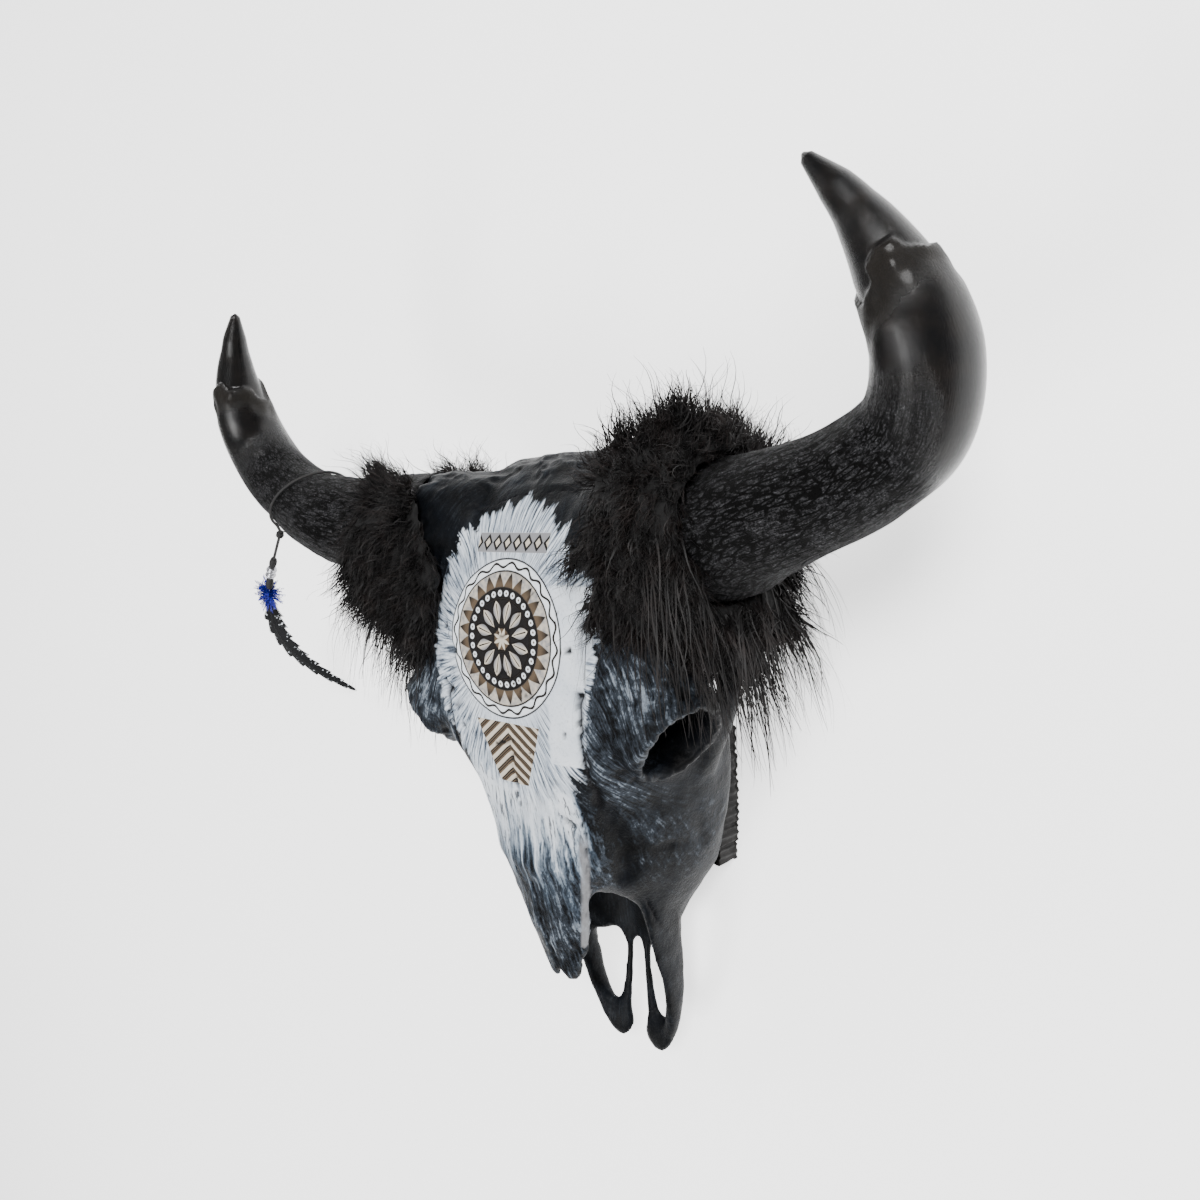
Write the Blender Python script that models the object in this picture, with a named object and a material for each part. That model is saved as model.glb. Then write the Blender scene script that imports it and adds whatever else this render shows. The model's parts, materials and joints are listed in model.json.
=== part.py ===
"""Carved and painted bison skull with horns, hide left round the horn bases, and a feather pendant.

Shapes are worked out in millimetres in the skull's own frame: X to the skull's left, Y towards the
back of the head, Z out of the forehead, with the origin where the forehead meets the nose bones.
Everything hangs from one empty, which lifts the skull so that it rests on its teeth and condyles.
"""

import math
import random

import bmesh
import bpy
import numpy as np
from mathutils import Vector

MM = 0.001
GAP = 0.3  # clearance between pieces that touch

# Cell size of the even meshes that join a piece's masses, and the share of their faces that is kept
BONE_VOXEL, BONE_FACES_KEPT = 2.6, 0.0192
HAIR_VOXEL, HAIR_FACES_KEPT = 3.0, 0.018
HOLLOW_VOXEL = 3.0

# Heights below the forehead plane
REST_Z = -190.0  # grinding faces of the teeth and the undersides of the condyles
TOOTH_SEAT_Z = -163.0

# Shift from the nose root to the middle of the footprint
CENTRE_Y = 34.5

# Horn: stations from the tip to the base
HORN_LINE = [
    (288, 358, 58),
    (309, 332, 48),
    (325, 303, 38),
    (336, 255, 16),
    (323, 222, 3),
    (293, 201, -1),
    (229, 178, -3),
    (175, 168, -34),
    (122.3, 167, -43),
]
# Radii at even shares of the horn's length, from the tip to the base
HORN_RADII = [3.2, 12, 18.2, 23.6, 27.1, 28.9, 30.4, 31.8, 32.5, 34.25, 36, 39.25, 42.5, 46, 49.5, 50.25, 51]
HORN_AXIS_Y, HORN_AXIS_Z = 167.0, -43.0
HORN_SIDES = 14
HORN_STATIONS = 24
STEP_SHARE = 0.19  # share of the horn's length, from the tip, where the outer layer has broken off
STEP_HEIGHT = 3.4
STUB_RADIUS = 30.0
STUB_DEPTH = 42.0
PEDICLE_X = 122.0

# Half profiles of the skull's body, from the middle of its top to the middle of its underside
BODY_STATIONS = {
    -192: [(0, -139), (10, -139), (22, -138), (32, -135), (41, -136), (43, -141), (40, -149), (22, -154), (0, -153)],
    -168: [(0, -128), (12, -128), (26, -126), (38, -118), (47, -121), (49, -130), (45, -144), (26, -152), (0, -148)],
    -131: [(0, -82), (18, -82), (36, -82), (53, -84), (65, -98), (71, -122), (67, -148), (36, -154), (0, -148)],
    -105: [(0, -20), (20, -22), (40, -34), (54, -56), (72, -80), (84, -112), (82, -150), (42, -156), (0, -147)],
    -70: [(0, -12), (28, -14), (48, -24), (64, -46), (86, -78), (97, -114), (92, -152), (52, -156), (0, -145)],
    -35: [(0, -5), (34, -6), (56, -15), (75, -36), (98, -70), (106, -112), (96, -154), (54, -156), (0, -144)],
    0: [(0, 0), (40, 0), (70, -4), (94, -18), (112, -56), (110, -106), (94, -154), (54, -155), (0, -144)],
    30: [(0, 4), (44, 4), (78, 0), (110, -11), (132, -30), (116, -92), (90, -148), (50, -153), (0, -142)],
    60: [(0, 7), (46, 6), (82, 1), (116, -10), (146, -28), (100, -84), (66, -124), (40, -142), (0, -140)],
    95: [(0, 8), (46, 7), (82, 1), (114, -12), (138, -36), (94, -74), (64, -108), (36, -134), (0, -134)],
    130: [(0, 4), (46, 3), (80, -4), (106, -20), (120, -50), (96, -84), (78, -116), (40, -136), (0, -136)],
    165: [(0, -6), (44, -7), (76, -13), (100, -28), (114, -58), (112, -96), (102, -128), (46, -142), (0, -140)],
    195: [(0, -24), (40, -25), (70, -31), (92, -44), (110, -72), (122, -104), (114, -138), (50, -148), (0, -144)],
    215: [(0, -42), (34, -43), (60, -50), (86, -66), (110, -90), (128, -114), (112, -142), (46, -150), (0, -144)],
    229: [(0, -62), (30, -63), (52, -70), (74, -84), (96, -100), (108, -116), (88, -132), (40, -140), (0, -136)],
}

# Nose bones: (y, height of the ridge, half width, drop of the edge)
NASAL_STATIONS = [
    (6, 0, 16, 1),
    (-20, -3, 44, 6),
    (-45, -7, 54, 12),
    (-80, -13, 50, 15),
    (-115, -21, 43, 17),
    (-150, -31, 34, 17),
    (-172, -40, 28, 14),
    (-188, -46, 20, 9),
    (-200, -50, 13, 4),
]
NASAL_THICKNESS = 9.0

# Front jaw bones, as (x, y, z, half height, half thickness)
PREMAX_OUTER = [
    (56, -112, -96, 16, 6),
    (55, -150, -112, 20, 6),
    (51, -185, -128, 20, 5.5),
    (48, -215, -138, 15, 5.5),
    (43, -245, -144, 11, 7),
    (34, -268, -148, 7, 9),
    (22, -286, -149, 5, 11),
]
PREMAX_INNER = [
    (10, -140, -146, 6, 6),
    (9, -180, -147, 6, 5.5),
    (10, -215, -148, 5, 6),
    (14, -245, -149, 5, 7),
    (19, -270, -149, 5, 12),
]

ORBIT_CENTRE = (125, 20, -42)
ORBIT_AXIS = (0.80, -0.54, 0.08)
ORBIT_OUTER = 40.0
ORBIT_INNER = 29.0

# Cheek tooth lengths along the row, from the front
TOOTH_LENGTHS = [16, 17, 18, 20, 22, 24]
TOOTH_ROW_START = -116.0
TOOTH_OUTER_X = 80.0
TOOTH_WIDTHS = [17, 21, 23, 26, 27, 25]

# Lumps of the left hide, as (centre, radii)
HIDE_LUMPS = [
    ((128, 172, -8), (44, 54, 34)),
    ((158, 167, 0), (36, 52, 33)),
    ((146, 207, -18), (43, 33, 38)),
    ((118, 126, -20), (38, 40, 34)),
    ((140, 104, -48), (38, 32, 38)),
    ((136, 134, -58), (44, 40, 44)),
    ((154, 116, -66), (44, 36, 42)),
    ((148, 150, -94), (42, 48, 33)),
    ((138, 212, -68), (40, 32, 40)),
]

# Locks that stand out of the left hide: root, tip, and how far the middle bows sideways
HIDE_LOCKS = [
    ((100, 196, 6), (84, 220, 10), 4),
    ((124, 214, 4), (118, 240, 14), -5),
    ((146, 222, 0), (150, 252, 12), 5),
    ((164, 224, -10), (184, 250, 4), -5),
    ((172, 220, -20), (204, 236, -2), 4),
    ((88, 150, 8), (74, 132, 12), 3),
    ((90, 122, 2), (80, 98, 4), -4),
    ((106, 102, -10), (98, 74, -6), 5),
    ((124, 94, -28), (120, 62, -26), -5),
    ((140, 92, -42), (146, 54, -50), 6),
    ((158, 94, -54), (172, 50, -64), -6),
    ((166, 100, -66), (190, 62, -80), 6),
    ((172, 112, -74), (200, 84, -90), -5),
    ((162, 124, -92), (190, 92, -118), 5),
    ((148, 116, -98), (158, 72, -122), -5),
    ((160, 146, -102), (184, 130, -128), 4),
    ((148, 188, -102), (166, 206, -130), -4),
    ((154, 212, -84), (178, 238, -104), 4),
]

# The right hide has slipped down by this much; both lie this far off the bone and horn
RIGHT_HIDE_DROP = 26.0
HIDE_CLEARANCE = 1.5

# Pendant: from the knot on the right horn down to where the feather's tip rests
KNOT = Vector((-307.8, 163.3, 9.8))
FEATHER_TIP = Vector((-484, -30, REST_Z + 1.4))
FEATHER_FACE = (0.675, 0.078, 0.733)  # the way the face of the vane looks
FEATHER_HALF_WIDTH = 14.0
PENDANT_BOW = 48.0
THONG_LENGTH = 34.0
THONG_DIAMETER = 2.8
LOOP_SHARE = 0.585  # share of the horn's length, from the tip, at the middle of the slanted loop
LOOP_SLANT = 0.055
KNOT_ANGLE = math.radians(164)  # round the horn, from its rear side


def clear_scene():
    for obj in list(bpy.data.objects):
        bpy.data.objects.remove(obj)


def material(name, colour, roughness):
    made = bpy.data.materials.new(name)
    made.use_nodes = True
    shader = made.node_tree.nodes["Principled BSDF"]
    shader.inputs["Base Color"].default_value = (*colour, 1)
    shader.inputs["Roughness"].default_value = roughness
    shader.inputs["Metallic"].default_value = 0
    return made


def object_from(name, points, faces, finish=None, helper=False):
    """A mesh object from points in millimetres, hung from the skull's frame."""
    mesh = bpy.data.meshes.new(name)
    mesh.from_pydata([tuple(MM * c for c in p) for p in points], [], faces)
    mesh.update()
    obj = bpy.data.objects.new(name, mesh)
    bpy.context.scene.collection.objects.link(obj)
    obj.parent = bpy.data.objects["skull_frame"]
    if finish:
        mesh.materials.append(finish)
    if helper:
        obj.hide_render = True
        obj.display_type = "WIRE"
    return obj


def smooth_rows(rows, count, knots=None):
    """Points along the smooth curve through rows, evenly spread over their knots."""
    rows = np.array(rows, float)
    flat = rows.reshape(len(rows), -1)
    if knots is None:
        steps = np.linalg.norm(np.diff(flat, axis=0), axis=1)
        knots = np.concatenate([[0], np.cumsum(steps)])
    knots = np.array(knots, float)
    slopes = np.gradient(flat, knots, axis=0)
    where = np.linspace(knots[0], knots[-1], count)
    found = []
    for x in where:
        i = min(int(np.searchsorted(knots, x, side="right")) - 1, len(knots) - 2)
        span = knots[i + 1] - knots[i]
        t = (x - knots[i]) / span
        found.append(
            (2 * t**3 - 3 * t**2 + 1) * flat[i]
            + (t**3 - 2 * t**2 + t) * span * slopes[i]
            + (3 * t**2 - 2 * t**3) * flat[i + 1]
            + (t**3 - t**2) * span * slopes[i + 1]
        )
    return np.array(found).reshape(count, *rows.shape[1:]), where


def loft(rings):
    """Points and faces of a closed body through rings of equal count, each counter-clockwise seen
    from the end of the run."""
    count = len(rings[0])
    points = [tuple(p) for ring in rings for p in ring]
    faces = [tuple(reversed(range(count)))]
    for r in range(len(rings) - 1):
        for i in range(count):
            j = (i + 1) % count
            low, high = r * count, (r + 1) * count
            faces.append((low + i, low + j, high + j, high + i))
    last = (len(rings) - 1) * count
    faces.append(tuple(last + i for i in range(count)))
    return points, faces


def frames_along(line, up=(0, 0, 1)):
    """(tangent, side, up) at each point of a line."""
    line = np.array(line, float)
    tangents = np.gradient(line, axis=0)
    found = []
    for tangent in tangents:
        t = Vector(tangent).normalized()
        side = t.cross(Vector(up)).normalized()
        found.append((t, side, side.cross(t).normalized()))
    return found


def strand(line, radii, sides=10, up=(0, 0, 1)):
    """A body along a line whose section is an oval: radii holds (across, upwards) for each point."""
    rings = []
    for centre, (across, upwards), (_, side, rise) in zip(line, radii, frames_along(line, up)):
        rings.append(
            [
                Vector(centre)
                + side * (across * math.cos(2 * math.pi * i / sides))
                + rise * (upwards * math.sin(2 * math.pi * i / sides))
                for i in range(sides)
            ]
        )
    return loft([ring[::-1] for ring in rings])


def ball(centre, radii, sides=16, stacks=9):
    """An ellipsoid as a loft along Z."""
    rings = []
    for s in range(stacks + 1):
        angle = -math.pi / 2 + math.pi * (s + 0.25) / (stacks + 0.5)
        rings.append(
            [
                (
                    centre[0] + radii[0] * math.cos(angle) * math.cos(2 * math.pi * i / sides),
                    centre[1] + radii[1] * math.cos(angle) * math.sin(2 * math.pi * i / sides),
                    centre[2] + radii[2] * math.sin(angle),
                )
                for i in range(sides)
            ]
        )
    return loft(rings)


def block(low, high):
    rings = [
        [(low[0], low[1], z), (high[0], low[1], z), (high[0], high[1], z), (low[0], high[1], z)]
        for z in (low[2], high[2])
    ]
    return loft(rings)


def mirrored(body):
    """The same body on the skull's right side."""
    points, faces = body
    return [(-p[0], p[1], p[2]) for p in points], [tuple(reversed(f)) for f in faces]


def gathered(bodies):
    """Several closed bodies in one list of points and faces."""
    points, faces = [], []
    for body_points, body_faces in bodies:
        start = len(points)
        points += body_points
        faces += [tuple(start + i for i in f) for f in body_faces]
    return points, faces


def both_sides(*bodies):
    return [*bodies, *(mirrored(body) for body in bodies)]


def skull_body():
    """The brain case, forehead and upper jaws as one loft from the front to the back."""
    ys = sorted(BODY_STATIONS)
    rows, where = smooth_rows([BODY_STATIONS[y] for y in ys], 44, ys)
    rings = []
    for half, y in zip(rows, where):
        fine, _ = smooth_rows(half, 21)
        right = [(-x, z) for x, z in fine[-2:0:-1]]
        rings.append([(x, y, z) for x, z in [*fine, *right]])
    return loft(rings)


def nose_bones():
    rows, _ = smooth_rows(NASAL_STATIONS, 24)
    rings = []
    for y, ridge, half, drop in rows:
        across = np.linspace(-1, 1, 13)
        top = [(half * u, y, ridge - drop * abs(u) ** 2.2) for u in across]
        under = [(half * u * 0.97, y, z - NASAL_THICKNESS) for u, (_, _, z) in zip(across, top)]
        rings.append([*top, *under[::-1]])
    return loft(rings)


def jaw_bars():
    """The front jaw bones of the left side: an outer blade and an inner rod that join at the tip."""
    bars = []
    for stations in (PREMAX_OUTER, PREMAX_INNER):
        rows, _ = smooth_rows(stations, 18)
        bars.append(strand(rows[:, :3], [(thick, high) for high, thick in rows[:, 3:]]))
    bars.append(ball((20, -272, -149), (16, 20, 6)))
    return bars


def orbit_tube(radius, start, end, count=24):
    """A round bar along the eye socket's axis, used for its rim and for its hole."""
    axis = Vector(ORBIT_AXIS).normalized()
    line = [Vector(ORBIT_CENTRE) + axis * s for s in np.linspace(start, end, 6)]
    return strand(line, [(radius, radius * 1.04)] * 6, count)


def cheek_arch():
    line = [(100, -22, -104), (122, 14, -98), (136, 52, -94), (132, 92, -94), (116, 134, -98)]
    rows, _ = smooth_rows(line, 14)
    return strand(rows, [(9, 13)] * 14)


def horn_pedicle():
    """The swelling under the horn, with the short stub that the horn sits on."""
    ends = [(60, HORN_AXIS_Y, -50), (96, HORN_AXIS_Y, -45), (PEDICLE_X + 6, HORN_AXIS_Y, HORN_AXIS_Z)]
    base = strand(ends, [(46, 44), (50, 49), (52, 51)], 24)
    stub = strand(
        [(96, HORN_AXIS_Y, HORN_AXIS_Z), (PEDICLE_X + STUB_DEPTH + 4, HORN_AXIS_Y, HORN_AXIS_Z)],
        [(STUB_RADIUS + 3, STUB_RADIUS + 3)] * 2,
        24,
    )
    return [base, stub]


def underside_pieces():
    """Condyles, jugular points, ear bullae, tooth sockets and pterygoid plates of the left side."""
    condyle = ball((34, 226, -166), (21, 19, 27))
    jugular, _ = smooth_rows([(76, 200, -126), (74, 204, -156), (68, 208, -180)], 6)
    point = strand(jugular, [(17, 10), (15, 9), (13, 8), (11, 7), (8, 6), (5, 4)], 10, (0, 1, 0))
    bulla = ball((52, 160, -146), (17, 22, 16))
    ridge, _ = smooth_rows([(62, -127, -142), (69, -84, -147), (73, -34, -147), (69, 12, -146)], 12)
    sockets = strand(ridge, [(6, 9), (14, 18), *[(20, 20)] * 9, (12, 14)])
    plate, _ = smooth_rows([(27, 26, -150), (24, 58, -152), (22, 92, -146)], 8)
    wing = strand(plate, [(5, 22)] * 8)
    return [condyle, point, bulla, sockets, wing]


def skull_hollows():
    """Everything that is open in the skull: nose, eye sockets, temple, palate, throat and neck hole."""
    nose, _ = smooth_rows(
        [
            (0, -245, -108, 34, 40),
            (0, -200, -104, 38, 42),
            (0, -160, -96, 44, 44),
            (0, -125, -88, 46, 46),
            (0, -85, -82, 42, 46),
            (0, -40, -82, 34, 42),
        ],
        14,
    )
    nose_tube = strand(nose[:, :3], [(a, b) for a, b in nose[:, 3:]], 20)
    socket = orbit_tube(ORBIT_INNER, -44, 34)
    socket_floor = ball((96, 46, -52), (28, 28, 28))
    temple, _ = smooth_rows([(112, 58, -86), (108, 92, -98), (104, 128, -112)], 8)
    temple_hole = strand(temple, [(16, 34), (18, 36), (19, 38), (19, 38), (19, 36), (18, 34), (17, 30), (15, 24)])
    palate, _ = smooth_rows([(0, -150, -172), (0, -80, -172), (0, 0, -172), (0, 40, -176)], 10)
    vault = strand(palate, [(44, 24)] * 10, 16)
    throat, _ = smooth_rows([(0, 30, -128), (0, 60, -138), (0, 96, -158)], 6)
    throat_hole = strand(throat, [(17, 20)] * 6, 14)
    neck, _ = smooth_rows([(0, 262, -134), (0, 225, -132), (0, 180, -126)], 6)
    neck_hole = strand(neck, [(19, 18)] * 6, 16)
    fissure, _ = smooth_rows([(23, -186, -150), (26, -216, -150), (28, -250, -150)], 6)
    fissures = strand(fissure, [(5, 20), (7.5, 20), (8, 20), (7, 20), (5, 20), (2.5, 20)])
    notch = strand([(0, -215, -50), (0, -182, -44)], [(5, 20), (1.5, 20)], 8)
    side_notch = strand([(24, -215, -56), (24, -176, -50)], [(6, 20), (2, 20)], 8)
    return [
        nose_tube,
        notch,
        vault,
        throat_hole,
        neck_hole,
        *both_sides(side_notch, socket, socket_floor, temple_hole, fissures),
    ]


def trim_bodies():
    """Flat cuts: the plane that the skull rests on, the seats of the teeth and the horn seats."""
    ground = block((-200, -320, -260), (200, 320, REST_Z))
    seats = block((50, TOOTH_ROW_START - 2, -200), (104, 4, TOOTH_SEAT_Z + GAP))
    sides = HORN_SIDES
    outer, inner, stub_end = 66.0, STUB_RADIUS, PEDICLE_X + STUB_DEPTH
    rings = []
    for x, radius in (
        (stub_end, 0.5),
        (stub_end, inner),
        (PEDICLE_X, inner),
        (PEDICLE_X, outer),
        (stub_end + 40, outer),
        (stub_end + 40, 0.5),
    ):
        rings.append(
            [
                (
                    x,
                    HORN_AXIS_Y + radius * math.cos(2 * math.pi * i / sides),
                    HORN_AXIS_Z + radius * math.sin(2 * math.pi * i / sides),
                )
                for i in range(sides)
            ]
        )
    horn_seat = loft(rings)
    return [ground, *both_sides(seats, horn_seat)]


def outward(obj):
    """Faces of a mesh turned to point out of it."""
    bm = bmesh.new()
    bm.from_mesh(obj.data)
    bmesh.ops.recalc_face_normals(bm, faces=bm.faces)
    bm.to_mesh(obj.data)
    bm.free()
    return obj


def remeshed(obj, voxel):
    modifier = obj.modifiers.new("Remesh", "REMESH")
    modifier.mode = "VOXEL"
    modifier.voxel_size = voxel * MM
    return obj


def cut(obj, cutter, solver="EXACT"):
    modifier = obj.modifiers.new("Cut", "BOOLEAN")
    modifier.operation = "DIFFERENCE"
    modifier.object = cutter
    modifier.solver = solver
    return obj


def relaxed(obj, rounds, factor=0.5):
    modifier = obj.modifiers.new("Smooth", "SMOOTH")
    modifier.iterations = rounds
    modifier.factor = factor
    return obj


def thinned(obj, ratio):
    modifier = obj.modifiers.new("Decimate", "DECIMATE")
    modifier.ratio = ratio
    return obj


def evaluated_copy(name, source, helper=True):
    """A plain mesh object that holds what source's modifiers make."""
    graph = bpy.context.evaluated_depsgraph_get()
    mesh = bpy.data.meshes.new_from_object(source.evaluated_get(graph))
    obj = bpy.data.objects.new(name, mesh)
    bpy.context.scene.collection.objects.link(obj)
    obj.parent = source.parent
    obj.hide_render = helper
    obj.display_type = "WIRE" if helper else "TEXTURED"
    return obj


def largest_body(obj):
    """Drops the crumbs that a cut leaves beside the main body."""
    bm = bmesh.new()
    bm.from_mesh(obj.data)
    waiting = set(bm.verts)
    groups = []
    while waiting:
        reached = [waiting.pop()]
        group = list(reached)
        while reached:
            for edge in reached.pop().link_edges:
                for vert in edge.verts:
                    if vert in waiting:
                        waiting.remove(vert)
                        reached.append(vert)
                        group.append(vert)
        groups.append(group)
    groups.sort(key=len)
    crumbs = [vert for group in groups[:-1] for vert in group]
    bmesh.ops.delete(bm, geom=crumbs, context="VERTS")
    bm.to_mesh(obj.data)
    bm.free()
    return obj


def make_skull(finish):
    hollows = outward(object_from("skull_hollows", *gathered(skull_hollows()), helper=True))
    remeshed(hollows, HOLLOW_VOXEL)
    trims = outward(object_from("skull_trims", *gathered(trim_bodies()), helper=True))
    bodies = [
        skull_body(),
        nose_bones(),
        *both_sides(
            *jaw_bars(),
            orbit_tube(ORBIT_OUTER, -46, 9),
            ball((112, 40, -46), (36, 42, 38)),
            cheek_arch(),
            *horn_pedicle(),
            *underside_pieces(),
        ),
    ]
    mass = outward(object_from("skull_mass", *gathered(bodies), finish, helper=True))
    remeshed(mass, BONE_VOXEL)
    cut(mass, hollows)
    remeshed(mass, BONE_VOXEL)
    relaxed(mass, 3)
    thinned(mass, BONE_FACES_KEPT)
    cut(mass, trims)
    return largest_body(evaluated_copy("skull", mass, helper=False))


def horn_radius(share, angle):
    """Radius of the horn at a share of its length from the tip, with the broken step near the tip."""
    shares = np.linspace(0, 1, len(HORN_RADII))
    radius = float(np.interp(share, shares, HORN_RADII))
    edge = STEP_SHARE + 0.022 * math.sin(angle * 2 + 0.6) + 0.012 * math.sin(angle * 5)
    if share < edge:
        radius -= STEP_HEIGHT * min(1.0, share / (0.5 * STEP_SHARE))
    return max(radius, 1.5)


def horn_line(count):
    rows, _ = smooth_rows(HORN_LINE, count)
    return rows


def horn_rings():
    """Rings from the closed end of the socket, round the base and along the horn to its tip."""
    rings = []
    for x, radius in (
        (PEDICLE_X + STUB_DEPTH + GAP, STUB_RADIUS + GAP),
        (PEDICLE_X + GAP, STUB_RADIUS + GAP),
    ):
        rings.append(
            [
                Vector((x, HORN_AXIS_Y, HORN_AXIS_Z))
                + Vector((0, math.cos(a), math.sin(a))) * radius
                for a in (2 * math.pi * i / HORN_SIDES for i in range(HORN_SIDES))
            ]
        )
    line = horn_line(HORN_STATIONS)[::-1]
    side = Vector((0, 1, 0))
    previous = Vector((1, 0, 0))
    tangents = np.gradient(line, axis=0)
    for k, centre in enumerate(line):
        tangent = Vector((1, 0, 0)) if k == 0 else Vector(tangents[k]).normalized()
        side = previous.rotation_difference(tangent) @ side
        previous = tangent
        rise = tangent.cross(side)
        share = 1 - k / (len(line) - 1)
        ring = []
        for i in range(HORN_SIDES):
            angle = 2 * math.pi * i / HORN_SIDES
            direction = side * math.cos(angle) + rise * math.sin(angle)
            ring.append(Vector(centre) + direction * horn_radius(share, angle))
        rings.append(ring)
    return rings


def make_horns(finish):
    body = loft(horn_rings())
    horns = []
    for name, shape in (("horn_left", body), ("horn_right", mirrored(body))):
        horns.append(outward(object_from(name, *shape, finish)))
    return horns


def tooth_outline(length, width, outer_x):
    """A cheek tooth from below: a ribbed outer side and a plain inner side."""
    ribs = [(0.02, 2.5), (0.12, 0.3), (0.3, 2.2), (0.5, 0.0), (0.7, 2.2), (0.88, 0.3), (0.98, 2.5)]
    outer = [(outer_x - depth, share * length) for share, depth in ribs]
    inner = [(outer_x - width + 1.6, 0.92 * length), (outer_x - width, 0.66 * length)]
    inner += [(outer_x - width, 0.3 * length), (outer_x - width + 1.6, 0.06 * length)]
    return outer + inner


def make_teeth(finish):
    y = TOOTH_ROW_START
    for n, (length, width) in enumerate(zip(TOOTH_LENGTHS, TOOTH_WIDTHS), 1):
        lean = 3.0 * math.sin(math.pi * n / 6)
        outline = tooth_outline(length - GAP, width, TOOTH_OUTER_X - 4 + lean)
        rings = []
        for z, grow in ((TOOTH_SEAT_Z, 0.8), (REST_Z, -0.4)):
            rings.append([(x + grow * (1 if x > 70 else 0), y + v, z) for x, v in outline])
        body = loft(rings)
        for side, shape in (("left", body), ("right", mirrored(body))):
            outward(object_from(f"tooth_{side}_{n}", *shape, finish))
        y += length


def hide_lumps():
    """The mass of hair round the left horn's base."""
    return [ball(centre, radii) for centre, radii in HIDE_LUMPS]


def hide_locks(seed):
    """Tapered locks that stand out of the mass, each a little different on either side."""
    dice = random.Random(seed)
    locks = []
    for root, tip, bow in HIDE_LOCKS:
        start = Vector(root)
        end = Vector(tip) + Vector([dice.uniform(-6, 6) for _ in range(3)])
        start -= (end - start) * 0.5
        across = (end - start).cross(Vector((0, 0, 1))).normalized()
        line = [
            start.lerp(end, t) + across * bow * 2 * math.sin(math.pi * t) for t in (0, 0.3, 0.55, 0.8, 1)
        ]
        width = dice.uniform(11, 13)
        shares = (1, 0.95, 0.75, 0.45, 0.16)
        locks.append(strand(line, [(width * k, width * k) for k in shares], 8))
    return locks


def swollen_copy(source, growth):
    """A cutter with the form of a piece, grown all over."""
    cutter = evaluated_copy(f"{source.name}_plus_{growth:.1f}", source)
    swell = cutter.modifiers.new("Swell", "DISPLACE")
    swell.strength = growth * MM
    swell.mid_level = 0
    return cutter


def make_hides(finish, skull, horns):
    """Each hide is the hair mass less the skull and the horn, which it lies against.

    The grown skull folds over itself in sharp hollows, so a barely grown one is cut away too."""
    bone, *sheaths = [swollen_copy(source, HIDE_CLEARANCE) for source in (skull, *horns)]
    tight_bone = swollen_copy(skull, 2 * GAP)
    for name, side, sheath in (("hide_left", 1, sheaths[0]), ("hide_right", -1, sheaths[1])):
        bodies = [*hide_lumps(), *hide_locks(11 if side > 0 else 23)]
        if side < 0:
            bodies = [mirrored(body) for body in bodies]
        mass = outward(object_from(f"{name}_mass", *gathered(bodies), finish, helper=True))
        if side < 0:
            mass.location.y = -RIGHT_HIDE_DROP * MM
        remeshed(mass, HAIR_VOXEL)
        relaxed(mass, 2)
        thinned(mass, HAIR_FACES_KEPT)
        for cutter in (bone, tight_bone, sheath):
            cut(mass, cutter, "MANIFOLD")
        hide = largest_body(evaluated_copy(name, mass, helper=False))
        hide.location = mass.location


def loop_line(count=24):
    """The thong's turn round the right horn, slanted across it."""
    line = horn_line(101)
    points = []
    for i in range(count):
        angle = 2 * math.pi * i / count
        share = LOOP_SHARE - LOOP_SLANT * math.cos(angle - KNOT_ANGLE)
        at = share * 100
        low = int(at)
        centre = Vector(line[low]).lerp(Vector(line[low + 1]), at - low)
        tangent = (Vector(line[low + 1]) - Vector(line[low])).normalized()
        side = tangent.cross(Vector((0, 0, 1))).normalized()
        rise = side.cross(tangent)
        radius = horn_radius(share, 0) + THONG_DIAMETER / 2 + 3 * GAP
        p = centre + (side * math.cos(angle) + rise * math.sin(angle)) * radius
        points.append((-p.x, p.y, p.z))
    return points


def ring_tube(line, radius, sides=5):
    """A closed tube along a closed line."""
    count = len(line)
    points, faces = [], []
    for k in range(count):
        before, after = Vector(line[k - 1]), Vector(line[(k + 1) % count])
        tangent = (after - before).normalized()
        side = tangent.cross(Vector((0, 0, 1))).normalized()
        rise = side.cross(tangent)
        for i in range(sides):
            angle = 2 * math.pi * i / sides
            offset = side * math.cos(angle) + rise * math.sin(angle)
            points.append(tuple(Vector(line[k]) + offset * radius))
    for k in range(count):
        for i in range(sides):
            j = (i + 1) % sides
            low, high = k * sides, ((k + 1) % count) * sides
            faces.append((low + i, low + j, high + j, high + i))
    return points, faces


def pendant_point(distance, total):
    """A point on the pendant's bowed line, at a distance from the knot."""
    t = distance / total
    run = FEATHER_TIP - KNOT
    bow = Vector((-0.6, -0.2, 0.77))
    bow = (bow - run * (bow.dot(run) / run.length_squared)).normalized()
    return KNOT + run * t + bow * (PENDANT_BOW * math.sin(math.pi * t))


def pendant_span(start, end, count, total):
    return [pendant_point(start + (end - start) * i / (count - 1), total) for i in range(count)]


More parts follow.
